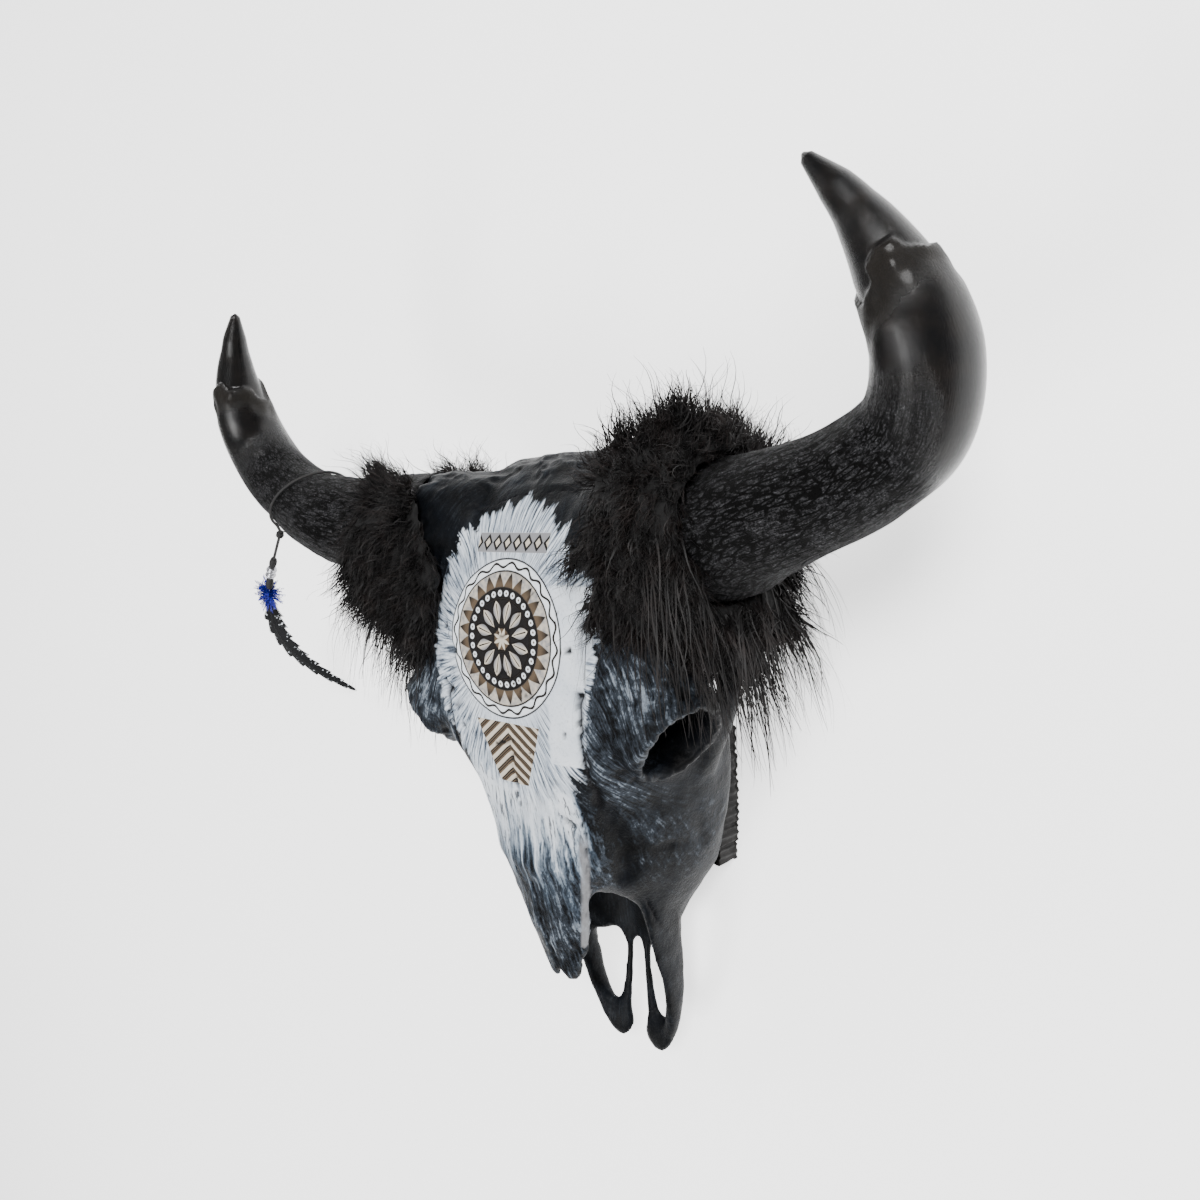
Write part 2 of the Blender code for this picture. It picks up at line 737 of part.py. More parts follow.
def feather_body(start, total):
    """The vane as a thin curved blade with scalloped edges, and its shaft."""
    line = pendant_span(start, total, 22, total)
    frames = frames_along(line, FEATHER_FACE)
    rings = []
    for k, (centre, (_, side, rise)) in enumerate(zip(line, frames)):
        t = k / (len(line) - 1)
        width = FEATHER_HALF_WIDTH * min(1, 0.35 + 5 * t) * (1 - t) ** 0.55 + 1.0
        scallop = 1 + 0.13 * math.sin(t * 2 * math.pi * 9)
        left, right = width * scallop, width * 0.8 * (2 - scallop)
        thick = 1.1 * (1 - 0.5 * t)
        curl = 5.0 * (1 - t)
        rings.append(
            [
                centre + side * -left - rise * curl + rise * 0.4,
                centre + side * (-left * 0.5) - rise * (curl * 0.2) + rise * thick,
                centre + rise * (thick + 0.8),
                centre + side * (right * 0.5) - rise * (curl * 0.2) + rise * thick,
                centre + side * right - rise * curl + rise * 0.4,
                centre + side * (right * 0.5) - rise * (curl * 0.2) - rise * thick,
                centre - rise * (thick + 0.4),
                centre + side * (-left * 0.5) - rise * (curl * 0.2) - rise * thick,
            ]
        )
    return loft(rings)


def make_pendant(cord_finish, bead_finish, blue_finish, feather_finish):
    total = (FEATHER_TIP - KNOT).length
    loop = ring_tube(loop_line(), THONG_DIAMETER / 2)
    outward(object_from("horn_thong", *loop, cord_finish))
    spans = {"knot": (-4.0, 4.0), "thong": (4.0 + GAP, THONG_LENGTH)}
    at = THONG_LENGTH + GAP
    for name, length in (("wrap_upper", 13), ("bead_upper", 7), ("bead_lower", 7), ("wrap_lower", 18)):
        spans[name] = (at, at + length)
        at += length + GAP
    shapes = {
        "knot": ("thong_knot", [2.4, 3.8, 4.0, 3.6, 2.2], cord_finish),
        "wrap_upper": ("wrap_upper", [2.0, 3.2, 4.0, 4.2, 3.6], cord_finish),
        "bead_upper": ("bead_upper", [2.6, 4.4, 5.0, 4.4, 2.6], bead_finish),
        "bead_lower": ("bead_lower", [2.6, 4.4, 5.0, 4.4, 2.6], bead_finish),
        "wrap_lower": ("wrap_lower", [3.6, 4.2, 4.4, 4.2, 3.6], cord_finish),
    }
    for key, (name, radii, finish) in shapes.items():
        low, high = spans[key]
        line = pendant_span(low, high, len(radii), total)
        outward(object_from(name, *strand(line, [(r, r) for r in radii], 8), finish))
    thong = bpy.data.curves.new("pendant_thong", "CURVE")
    thong.dimensions = "3D"
    thong.bevel_depth = THONG_DIAMETER / 2 * MM
    thong.bevel_resolution = 2
    thong.use_fill_caps = True
    low, high = spans["thong"]
    line = pendant_span(low, high, 8, total)
    spline = thong.splines.new("POLY")
    spline.points.add(len(line) - 1)
    for point, place in zip(spline.points, line):
        point.co = (*(place * MM), 1)
    thong.materials.append(cord_finish)
    obj = bpy.data.objects.new("pendant_thong", thong)
    bpy.context.scene.collection.objects.link(obj)
    obj.parent = bpy.data.objects["skull_frame"]
    tuft_line = pendant_span(at, at + 20, 5, total)
    tuft = strand(tuft_line, [(4.0, 4.0), (15, 11), (20, 13), (15, 10), (4.0, 3.5)], 12)
    outward(object_from("blue_tuft", *tuft, blue_finish))
    outward(object_from("feather", *feather_body(at + 20 + GAP, total), feather_finish))


def main():
    clear_scene()
    frame = bpy.data.objects.new("skull_frame", None)
    frame.location = (0, -CENTRE_Y * MM, -REST_Z * MM)
    bpy.context.scene.collection.objects.link(frame)
    bone = material("painted_bone", (0.03, 0.035, 0.04), 0.6)
    keratin = material("horn", (0.012, 0.012, 0.013), 0.35)
    enamel = material("painted_tooth", (0.03, 0.03, 0.03), 0.5)
    hair = material("hair", (0.012, 0.009, 0.008), 0.8)
    leather = material("thong", (0.01, 0.01, 0.01), 0.7)
    silver = material("bead", (0.8, 0.8, 0.82), 0.3)
    blue = material("blue_down", (0.02, 0.02, 0.6), 0.8)
    black = material("feather", (0.01, 0.012, 0.015), 0.4)
    skull = make_skull(bone)
    horns = make_horns(keratin)
    make_teeth(enamel)
    make_hides(hair, skull, horns)
    make_pendant(leather, silver, blue, black)


main()
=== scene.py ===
"""Looks of a carved and painted bison skull: bone, horns, teeth, hides, pendant, light and camera."""

import itertools
import json
import math
import random

import bpy
import bmesh
import numpy as np
from mathutils import Matrix, Vector

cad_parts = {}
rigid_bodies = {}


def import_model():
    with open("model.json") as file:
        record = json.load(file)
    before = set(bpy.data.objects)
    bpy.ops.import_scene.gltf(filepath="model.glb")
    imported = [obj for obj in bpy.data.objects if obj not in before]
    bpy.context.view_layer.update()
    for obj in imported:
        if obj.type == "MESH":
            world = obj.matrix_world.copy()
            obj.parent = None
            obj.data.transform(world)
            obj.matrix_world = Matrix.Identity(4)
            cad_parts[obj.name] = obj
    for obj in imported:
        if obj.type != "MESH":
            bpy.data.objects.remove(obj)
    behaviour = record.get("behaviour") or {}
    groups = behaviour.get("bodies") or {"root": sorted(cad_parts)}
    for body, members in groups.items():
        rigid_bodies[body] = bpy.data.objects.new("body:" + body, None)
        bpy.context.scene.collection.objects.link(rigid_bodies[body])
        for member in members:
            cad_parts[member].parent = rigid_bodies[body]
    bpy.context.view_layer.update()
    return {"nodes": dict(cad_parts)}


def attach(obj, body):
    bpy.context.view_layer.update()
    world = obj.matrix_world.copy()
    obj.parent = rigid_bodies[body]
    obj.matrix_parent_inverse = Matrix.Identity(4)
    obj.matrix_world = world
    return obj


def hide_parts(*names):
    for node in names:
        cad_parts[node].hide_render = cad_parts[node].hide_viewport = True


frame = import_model()

bl_info = {
    "name": "Carved Bison Skull",
    "version": (1, 0, 0),
    "blender": (4, 5, 0),
    "location": "3D View > Sidebar > Bison Skull",
    "description": "Builds the looks of a carved and painted bison skull over its solids",
    "category": "Add Mesh",
}

MM = 0.001

# The skull's own frame: millimetres from the nose root, X to its left, Y to its crown, Z out of the forehead
NOSE_ROOT = Vector((0.0, -0.0345, 0.190))

HORN_LINE = [
    (288, 358, 58),
    (309, 332, 48),
    (325, 303, 38),
    (336, 255, 16),
    (323, 222, 3),
    (293, 201, -1),
    (229, 178, -3),
    (175, 168, -34),
    (122.3, 167, -43),
]
# Radii at even shares of the horn's length, from the tip to the base
HORN_RADII = [
    3.2, 12, 18.2, 23.6, 27.1, 28.9, 30.4, 31.8, 32.5,
    34.25, 36, 39.25, 42.5, 46, 49.5, 50.25, 51,
]
HORN_SHRINK = 0.985
# Share of the length at which the outer layer is broken off, and how deep that step is
STEP_SHARE, STEP_DEPTH = 0.19, 3.3
# Blind socket in the sheath's base, over the bone stub
SOCKET_RADIUS = 30.3
SOCKET_END_X = 164.3
SHEATH_OPEN_X = 122.6
SOCKET_Y, SOCKET_Z = 167.0, -43.0

# Seams and openings in the bone of the left side, each as a path with its width and depth
SEAMS = [
    ([(74, 47, -2), (72, 22, -4), (70, -20, -12), (66, -36, -22)], 2.9, 3.2),
    ([(28, -30, -8), (38, -42, -12), (48, -56, -19)], 2.4, 5.0),
    ([(56, -44, -20), (51, -80, -29), (44, -115, -39), (38, -135, -44)], 1.8, 3.0),
    ([(0, 8, 1), (20, 2, 0), (42, -18, -8), (55, -38, -17)], 1.3, 1.3),
    ([(0, 8, 1), (0, -60, -9), (0, -125, -24), (0, -190, -47)], 1.3, 1.4),
    ([(62, -126, -86), (55, -170, -118), (46, -212, -150)], 1.4, 1.8),
    ([(64, -42, -36), (67, -70, -50), (61, -98, -62)], 8.0, 3.0),
    ([(100, -10, -80), (98, -40, -96), (92, -80, -118)], 5.0, 1.2),
]
# Pits in the bone, each with its centre and radius
PITS = [
    ((78, 101, 1), 4.2),
    ((66, 81, 2), 3.6),
    ((74, 49, -1), 4.4),
    ((60, 20, 2), 2.6),
    ((84, -76, -104), 4.0),
]
# Along this seam and the pits, depth counts less than the distance across the bone's surface
FLAT_SEAM, FLATTENING = 0, 0.2
ORBIT_CENTRE = np.array([125.0, 20.0, -42.0])
ORBIT_AXIS = np.array([0.80, -0.54, 0.08])
ORBIT_RADIUS = 34.0

# Below these heights, next to the surface that it lies on, the looks keep the solid's form
BONE_FLOOR_Z, TOOTH_FLOOR_Z = -183.0, -187.0

# Carved rosette on the forehead
ROSETTE_X, ROSETTE_Y = 0.0, 86.0
ROSETTE_RADIUS = 60.0
PETAL_INNER, PETAL_OUTER = 11.0, 30.0
BEAD_RING, BEAD_COUNT = 34.5, 30

# Brushed white of the forehead, an oval round this height
BRUSH_Y, BRUSH_HALF_WIDTH, BRUSH_HALF_HEIGHT = 80.0, 88.0, 112.0

HIDE_CENTRE = np.array([118.0, 168.0, -50.0])
# Seeds by side, 1 for the left and -1 for the right
HIDE_SEEDS = {1: 51, -1: 61}
HORN_SEEDS = {1: 5, -1: 14}
LOCK_SHAPES, STRANDS_IN_LOCK = 6, 10
LOCK_CURL = 6 * MM
HAIR_LAYERS = 2

# Pendant, from the knot on the right horn to where the feather's tip rests
KNOT = Vector((-307.8, 163.3, 9.8))
FEATHER_TIP = Vector((-484, -30, -188.6))
FEATHER_FACE = Vector((0.675, 0.078, 0.733))
FEATHER_HALF_WIDTH = 14.0
PENDANT_BOW = 48.0
THONG_START, THONG_END = 4.3, 34.0
THONG_WIDTH = 2.8
# Distances along the pendant from the knot
WRAPS = {"wrap_upper": (34.3, 47.3), "wrap_lower": (62.2, 80.2)}
BEADS = {"bead_upper": 47.6, "bead_lower": 54.9}
BEAD_HALF, BEAD_END_RADIUS = 3.4, 1.4
DOWN_START, FEATHER_START = 82.0, 101.0
THREAD_RADIUS, THREAD_PITCH = 0.85, 1.5
DOWN_PLUMES, FEATHER_BARBS = 130, 420
DOWN_SEED, FEATHER_SEED = 71, 83
# Turn of thong round the horn: its share of the horn's length, slant, thickness and gap
LOOP_SHARE, LOOP_SLANT = 0.585, 0.055
LOOP_RADIUS, LOOP_GAP = 1.35, 1.2
# Where the knot sits on it, how far it pulls the turn off the horn, and over what angle
KNOT_ANGLE = math.radians(164)
KNOT_PULL, KNOT_PULL_ANGLE = 4.4, 0.17

# Camera: place in the skull's frame, turns, and focal length over the picture's width
CAMERA_PLACE = (573.9, 174.5, 522.0)
CAMERA_YAW, CAMERA_PITCH, CAMERA_ROLL = 42.64, 4.45, -0.47
SENSOR_WIDTH = 36.0
FOCAL_LENGTH = SENSOR_WIDTH * 1029.41 / 1200

# Soft lights in metres of the row frame: place, target, width and power
LIGHTS = {
    "key_light": ((1.5, 1.1, 2.6), (0.05, 0.05, 0.1), 1.0, 125),
    "fill_light": ((-0.6, -1.7, 2.6), (0, 0, 0.1), 1.4, 70),
    "rim_light": ((-2.2, 1.2, 1.8), (0, 0, 0.15), 1.0, 22),
}


def at(x, y, z):
    """A point of the skull's frame in the row frame, in metres."""
    return Vector((x, y, z)) * MM + NOSE_ROOT


def smooth_step(low, high, value):
    share = np.clip((value - low) / (high - low), 0, 1)
    return share * share * (3 - 2 * share)


def noise(points, size, seed=0):
    """Smooth noise from -1 to 1 at each point, with features of about the given size."""
    scaled = np.asarray(points, float) / size + 37.7 * seed + 11.3
    cell = np.floor(scaled).astype(np.int64)
    part = scaled - cell
    part = part * part * (3 - 2 * part)
    total = np.zeros(len(scaled))
    for corner in itertools.product((0, 1), repeat=scaled.shape[1]):
        spot = cell + np.array(corner)
        mixed = (spot * np.array([73856093, 19349663, 83492791][: scaled.shape[1]])).sum(1) + seed * 9973
        mixed = (mixed ^ (mixed >> 13)) * 1274126177
        mixed = (mixed ^ (mixed >> 16)) & 0xFFFF
        weight = np.prod(np.where(np.array(corner), part, 1 - part), axis=1)
        total += weight * (mixed / 0x7FFF - 1)
    return total


def ridges(points, size, seed=0):
    return 1 - 2 * np.abs(noise(points, size, seed))


def path_distance(points, path):
    """Distance of each point from a path, and how far along the path its nearest spot is, from 0 to 1."""
    path = np.array(path, float)
    best = np.full(len(points), np.inf)
    along = np.zeros(len(points))
    for k, (a, b) in enumerate(zip(path[:-1], path[1:])):
        run = b - a
        share = np.clip(((points - a) @ run) / (run @ run), 0, 1)
        gap = np.linalg.norm(points - (a + share[:, None] * run), axis=1)
        nearer = gap < best
        best = np.where(nearer, gap, best)
        along = np.where(nearer, (k + share) / (len(path) - 1), along)
    return best, along


def smooth_line(rows, count):
    """Evenly spread points on the smooth curve through rows."""
    rows = np.array(rows, float)
    knots = np.concatenate([[0], np.cumsum(np.linalg.norm(np.diff(rows, axis=0), axis=1))])
    slopes = np.gradient(rows, knots, axis=0)
    found = []
    for x in np.linspace(0, knots[-1], count):
        i = min(int(np.searchsorted(knots, x, side="right")) - 1, len(knots) - 2)
        span = knots[i + 1] - knots[i]
        t = (x - knots[i]) / span
        found.append(
            (2 * t**3 - 3 * t**2 + 1) * rows[i]
            + (t**3 - 2 * t**2 + t) * span * slopes[i]
            + (3 * t**2 - 2 * t**3) * rows[i + 1]
            + (t**3 - t**2) * span * slopes[i + 1]
        )
    return np.array(found)


def placed(name, data):
    """A new object in the scene, at the origin."""
    obj = bpy.data.objects.new(name, data)
    bpy.context.scene.collection.objects.link(obj)
    return obj


def mesh_object(name, points, faces, finish):
    mesh = bpy.data.meshes.new(name)
    mesh.from_pydata([tuple(p) for p in points], [], faces)
    mesh.update()
    mesh.materials.append(finish)
    return placed(name, mesh)


def solid_copy(name, *nodes):
    """One object with the solids of the named nodes, with their split corners joined again."""
    bm = bmesh.new()
    for node in nodes:
        bm.from_mesh(frame["nodes"][node].data)
    bmesh.ops.remove_doubles(bm, verts=bm.verts, dist=0.02 * MM)
    mesh = bpy.data.meshes.new(name)
    bm.to_mesh(mesh)
    bm.free()
    return placed(name, mesh)


def baked(obj, finish):
    """Swaps an object's mesh for what its modifiers make."""
    graph = bpy.context.evaluated_depsgraph_get()
    mesh = bpy.data.meshes.new_from_object(obj.evaluated_get(graph))
    obj.modifiers.clear()
    obj.data = mesh
    mesh.materials.clear()
    mesh.materials.append(finish)


def refined(obj, voxel, rounds, levels=1):
    """Rounds the flat facets of a solid and gives it an even, fine mesh."""
    if levels:
        divide = obj.modifiers.new("Round", "SUBSURF")
        divide.levels = levels
        divide.render_levels = levels
    remesh = obj.modifiers.new("Even", "REMESH")
    remesh.mode = "VOXEL"
    remesh.voxel_size = voxel * MM
    relax = obj.modifiers.new("Relax", "SMOOTH")
    relax.iterations = rounds
    relax.factor = 0.5


def vertex_places(mesh):
    """Vertex places in the skull's frame, in millimetres, and the normals."""
    places = np.empty(len(mesh.vertices) * 3)
    mesh.vertices.foreach_get("co", places)
    normals = np.empty(len(mesh.vertices) * 3)
    mesh.vertices.foreach_get("normal", normals)
    return (places.reshape(-1, 3) - np.array(NOSE_ROOT)) / MM, normals.reshape(-1, 3)


def set_places(mesh, places):
    mesh.vertices.foreach_set("co", (places * MM + np.array(NOSE_ROOT)).ravel())
    mesh.update()


def set_attribute(mesh, name, values):
    attribute = mesh.attributes.new(name, "FLOAT", "POINT")
    attribute.data.foreach_set("value", np.asarray(values, np.float32))


def finished(obj, slot, *nodes):
    """Shades a piece smooth, sets it on the root body, and hides the solids that it stands for."""
    if obj.type == "MESH":
        obj.data.polygons.foreach_set("use_smooth", [True] * len(obj.data.polygons))
    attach(obj, "root")
    if nodes:
        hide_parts(*nodes)
    return obj


class Number:
    """A value in a material's nodes that sums and products can be written with."""

    def __init__(self, paint, socket):
        self.paint = paint
        self.socket = socket

    def __add__(self, other):
        return self.paint.math("ADD", self, other)

    def __radd__(self, other):
        return self.paint.math("ADD", other, self)

    def __sub__(self, other):
        return self.paint.math("SUBTRACT", self, other)

    def __rsub__(self, other):
        return self.paint.math("SUBTRACT", other, self)

    def __mul__(self, other):
        return self.paint.math("MULTIPLY", self, other)

    def __abs__(self):
        return self.paint.math("ABSOLUTE", self)

    def fraction(self):
        return self.paint.math("FRACT", self)

    def over(self, edge, softness=0.6):
        """0 below the edge and 1 above it, with a soft change."""
        return self.paint.math("MULTIPLY_ADD", self - edge, 1.0 / softness, 0.5, clamp=True)

    def under(self, edge, softness=0.6):
        return 1.0 - self.over(edge, softness)

    def between(self, low, high, softness=0.6):
        return self.over(low, softness) * self.under(high, softness)


class Paint:
    """A procedural material, with short ways to add the nodes it needs."""

    def __init__(self, name, colour, roughness, metallic=0.0, coat=0.0):
        self.material = bpy.data.materials.new(name)
        self.material.use_nodes = True
        self.tree = self.material.node_tree
        self.shader = self.tree.nodes["Principled BSDF"]
        self.set("Base Color", (*colour, 1))
        self.set("Roughness", roughness)
        self.set("Metallic", metallic)
        self.set("Coat Weight", coat)
        self.set("Coat Roughness", 0.15)

    def feed(self, socket, value):
        if isinstance(value, Number):
            value = value.socket
        if isinstance(value, bpy.types.NodeSocket):
            self.tree.links.new(value, socket)
        else:
            socket.default_value = value

    def set(self, name, value):
        self.feed(self.shader.inputs[name], value)

    def math(self, operation, a, b=0.0, c=0.0, clamp=False):
        node = self.tree.nodes.new("ShaderNodeMath")
        node.operation = operation
        node.use_clamp = clamp
        for socket, value in zip(node.inputs, (a, b, c)):
            self.feed(socket, value)
        return Number(self, node.outputs[0])

    def mix(self, factor, a, b):
        """Colour a where the factor is 0 and colour b where it is 1."""
        node = self.tree.nodes.new("ShaderNodeMix")
        node.data_type = "RGBA"
        self.feed(node.inputs[0], factor)
        for socket, value in ((node.inputs[6], a), (node.inputs[7], b)):
            self.feed(socket, (*value, 1) if isinstance(value, tuple) else value)
        return node.outputs[2]

    def node(self, kind, **inputs):
        """A new shader node whose inputs get the given values or links."""
        node = self.tree.nodes.new(kind)
        for name, value in inputs.items():
            self.feed(node.inputs[name], value)
        return node

    def place(self, stretch=(1, 1, 1)):
        """The point being painted, in metres, stretched along the axes."""
        coords = self.node("ShaderNodeTexCoord")
        return self.node("ShaderNodeMapping", Scale=stretch, Vector=coords.outputs["Object"]).outputs[0]

    def axes(self):
        """X, Y and Z of the point being painted, in millimetres of the skull's frame."""
        split = self.node("ShaderNodeSeparateXYZ", Vector=self.place())
        return [
            (Number(self, socket) - shift) * (1 / MM)
            for socket, shift in zip(split.outputs, NOSE_ROOT)
        ]

    def noise(self, vector, scale, detail=3.0, roughness=0.55, distortion=0.0):
        node = self.node("ShaderNodeTexNoise", Vector=vector, Scale=scale, Detail=detail)
        node.inputs["Roughness"].default_value = roughness
        node.inputs["Distortion"].default_value = distortion
        return Number(self, node.outputs[0])

    def cells(self, vector, scale, feature="F1"):
        node = self.node("ShaderNodeTexVoronoi", Vector=vector, Scale=scale)
        node.feature = feature
        return Number(self, node.outputs["Distance"])

    def vector(self, x, y, z):
        return self.node("ShaderNodeCombineXYZ", X=x, Y=y, Z=z).outputs[0]

    def stored(self, name):
        """A value that the mesh holds for each of its points."""
        node = self.node("ShaderNodeAttribute")
        node.attribute_name = name
        return Number(self, node.outputs["Fac"])

    def bump(self, height, strength, depth):
        node = self.node("ShaderNodeBump", Height=height, Strength=strength, Distance=depth)
        self.set("Normal", node.outputs[0])


def rosette(paint, x, y, colours):
    """The carved rosette: its colour, where it covers the bone, and where the lines are cut."""
    u = x - ROSETTE_X
    v = y - ROSETTE_Y
    radius = paint.math("SQRT", u * u + v * v)
    turn = paint.math("ARCTAN2", u, v) * (1 / (2 * math.pi)) + 0.5
    black, sepia, cream, grey, white = colours

    def repeat(count, shift=0.0):
        """How far each of count equal sectors reaches from its own middle: 0 at the middle, 1 at the edge."""
        return abs((turn * float(count) + shift).fraction() - 0.5) * 2.0

    shade = paint.noise(paint.place(), 240.0, 4.0)
    tone = paint.mix(radius.over(8.0), sepia, black)
    star = repeat(8)
    tone = paint.mix((star * -6.0 + 9.0 - radius).over(0.0), tone, cream)
    petal = repeat(12)
    swell = paint.math("SINE", (radius - PETAL_INNER) * (math.pi / (PETAL_OUTER - PETAL_INNER))) * 0.86
    inside = (swell - petal).over(0.0, 0.1) * radius.between(PETAL_INNER, PETAL_OUTER)
    tone = paint.mix(inside, tone, paint.mix(petal.over(0.35, 0.5), cream, grey))
    vein = petal.under(0.06, 0.06) * radius.between(14.0, 27.0)
    tone = paint.mix(vein, tone, black)
    tone = paint.mix(radius.between(31.0, 38.0), tone, black)
    bead_across = ((turn * float(BEAD_COUNT)).fraction() - 0.5) * (2 * math.pi * BEAD_RING / BEAD_COUNT)
    bead_out = radius - BEAD_RING
    bead = paint.math("SQRT", bead_across * bead_across + bead_out * bead_out)
    tone = paint.mix(bead.under(2.3), tone, white)
    tone = paint.mix(bead.under(0.9), tone, sepia)
    tone = paint.mix(radius.over(38.5), tone, paint.mix(shade.over(0.5, 0.4), cream, grey))
    points = ((50.0 - radius) * (1 / 11.0) - repeat(24)).over(0.0, 0.12) * radius.over(39.0)
    tone = paint.mix(points, tone, paint.mix(radius.over(45.0, 6.0), sepia, black))
    tone = paint.mix(radius.over(51.0), tone, white)
    wave = abs(radius - 55.5 - paint.math("SINE", turn * (2 * math.pi * 20)) * 1.8)
    tone = paint.mix(wave.under(0.8), tone, black)
    rings = 0.0
    for ring in (9.5, 30.5, 38.5, 51.0, ROSETTE_RADIUS):
        rings = abs(radius - ring).under(0.55) + rings
    edge = abs(swell - petal).under(0.08, 0.08) * radius.between(PETAL_INNER, PETAL_OUTER)
    cut = paint.math("ADD", rings, edge + vein + wave.under(0.8), clamp=True)
    covered = radius.under(ROSETTE_RADIUS)

    chevron = ((y + abs(u) * 0.75) * (1 / 9.0)).fraction()
    lower = y.between(-26.0, 22.0) * (abs(u) + y * -0.42).under(26.0) * radius.over(ROSETTE_RADIUS + 2)
    stripes = paint.mix(chevron.over(0.5, 0.1), sepia, cream)
    stripes = paint.mix(abs(chevron - 0.5).under(0.07, 0.05), stripes, black)
    stripes = paint.mix(abs(chevron - 0.25).under(0.05, 0.05), stripes, black)
    tone = paint.mix(lower * radius.over(ROSETTE_RADIUS), tone, stripes)
    lozenge = abs((u * (1 / 11.0)).fraction() - 0.5) * 2.0 + abs(y - 158.0) * (1 / 7.0)
    upper = y.between(150.5, 165.5) * abs(u).under(38.5)
    diamonds = paint.mix(lozenge.under(0.95, 0.1), grey, black)
    diamonds = paint.mix(lozenge.under(0.5, 0.1), diamonds, cream)
    tone = paint.mix(upper, tone, diamonds)
    covered = paint.math("ADD", covered, lower + upper, clamp=True)
    return tone, covered, cut


def painted_bone(colours):
    paint = Paint("painted_bone", (0.006, 0.007, 0.009), 0.42)
    paint.set("Specular IOR Level", 0.08)
    white = colours[-1]
    x, y, z = paint.axes()
    relief = paint.stored("relief")
    brushed = paint.stored("brushed")
    drips = paint.stored("drips")
    pale_edge = paint.stored("pale_edge")
    carved = paint.stored("carved")
    grain = paint.noise(paint.place(), 420.0, 5.0, 0.65)
    coarse = paint.noise(paint.place((1, 0.5, 1)), 210.0, 4.0, 0.7, 0.6)
    cloud = paint.noise(paint.place(), 34.0, 4.0, 0.6)
    tone = paint.mix(cloud.over(0.52, 0.35), (0.0014, 0.0015, 0.0017), (0.0034, 0.0044, 0.0064))
    streaks = paint.noise(paint.place((9, 1, 2)), 60.0, 4.0, 0.6)
    fold = abs(x)
    down = fold * 0.405 - y * 0.81 - z * 0.425
    across = fold * 0.895 + y * 0.447
    slash = paint.noise(paint.vector(down * 0.014, across * 0.13, 0.0), 3.0, 5.0, 0.68, 0.5)
    on_nose = y.under(-45.0, 20.0)
    drawn = slash * (1.0 - on_nose) + streaks * on_nose
    dry = drawn + relief * 0.3 + coarse * 0.45 + grain * 0.35 + cloud * 0.25
    drybrush_and_highlight = paint.stored("drybrush_and_highlight")
    # Pale dry-brushed paint on the ridges, which also stands in for painted highlights: light glinting off
    # the rough bone.
    tone = paint.mix(dry.over(1.20, 0.25) * drybrush_and_highlight, tone, (0.045, 0.056, 0.072))
    tone = paint.mix(dry.over(1.36, 0.18) * drybrush_and_highlight, tone, (0.26, 0.30, 0.35))
    flow = drips + streaks * 0.8 + grain * 0.2
    tone = paint.mix(flow.over(0.86, 0.3), tone, (0.045, 0.062, 0.085))
    tone = paint.mix(flow.over(1.08, 0.3), tone, (0.30, 0.36, 0.43))
    tone = paint.mix(flow.over(1.28, 0.3), tone, (0.70, 0.74, 0.79))
    tone = paint.mix(streaks.under(0.41, 0.05) * drips * 0.85, tone, (0.01, 0.012, 0.016))
    spread_x = x * (1 / BRUSH_HALF_WIDTH)
    spread_y = (y - BRUSH_Y) * (1 / BRUSH_HALF_HEIGHT)
    reach = paint.math("SQRT", spread_x * spread_x + spread_y * spread_y)
    bearing = paint.math("ARCTAN2", spread_x, spread_y)
    stroke = paint.noise(paint.vector(bearing * 26.0, reach * 2.2, 0.0), 1.6, 4.0, 0.65)
    cover = (brushed * 0.9 + stroke + grain * 0.2 - reach.over(0.98, 0.3) * 0.5).over(1.02, 0.3)
    streaky = brushed.under(1.12, 0.1) * reach.over(0.6, 0.3)
    silver = paint.mix(cloud.over(0.5, 0.5), (0.55, 0.61, 0.69), white)
    silver = paint.mix(stroke.under(0.52, 0.16) * streaky, silver, (0.24, 0.29, 0.36))
    silver = paint.mix(stroke.under(0.43, 0.08) * streaky, silver, (0.03, 0.037, 0.05))
    silver = paint.mix(grain.over(0.62, 0.2) * 0.4, silver, (0.25, 0.28, 0.32))
    tone = paint.mix(cover, tone, silver)
    tone = paint.mix(pale_edge * (coarse * 0.5 + 0.5), tone, (0.26, 0.26, 0.27))
    art, covered, cut = rosette(paint, x, y, colours)
    worn = (grain + cloud * 0.4).over(0.36, 0.2)
    tone = paint.mix(covered * carved * (worn * 0.15 + 0.85), tone, art)
    tone = paint.mix(cut * carved, tone, (0.02, 0.017, 0.015))
    # Seams and hairline cracks are darkened as the bone's dark joints; the pits are darkened as painted
    # shade.
    crack = paint.stored("seams_and_pit_shade")
    tone = paint.mix(crack, tone, (0.006, 0.006, 0.007))
    paint.set("Base Color", tone)
    paint.set("Roughness", 0.26 + grain * 0.35 + cover * 0.15)
    height = grain * 0.5 + coarse * (drybrush_and_highlight * 1.1 + 0.15) + slash * drybrush_and_highlight * 1.2 + cloud * 0.3
    paint.bump(height - cut * carved * 1.6 - crack * 0.5, 0.8, 0.0014)
    return paint.material


def painted_teeth():
    paint = Paint("painted_teeth", (0.05, 0.045, 0.04), 0.45)
    grain = paint.noise(paint.place((1, 1, 0.25)), 260.0, 4.0, 0.6)
    tone = paint.mix(grain.over(0.5, 0.4), (0.0022, 0.0021, 0.002), (0.012, 0.0108, 0.0098))
    paint.set("Specular IOR Level", 0.1)
    paint.set("Base Color", tone)
    paint.bump(grain, 0.6, 0.001)
    return paint.material


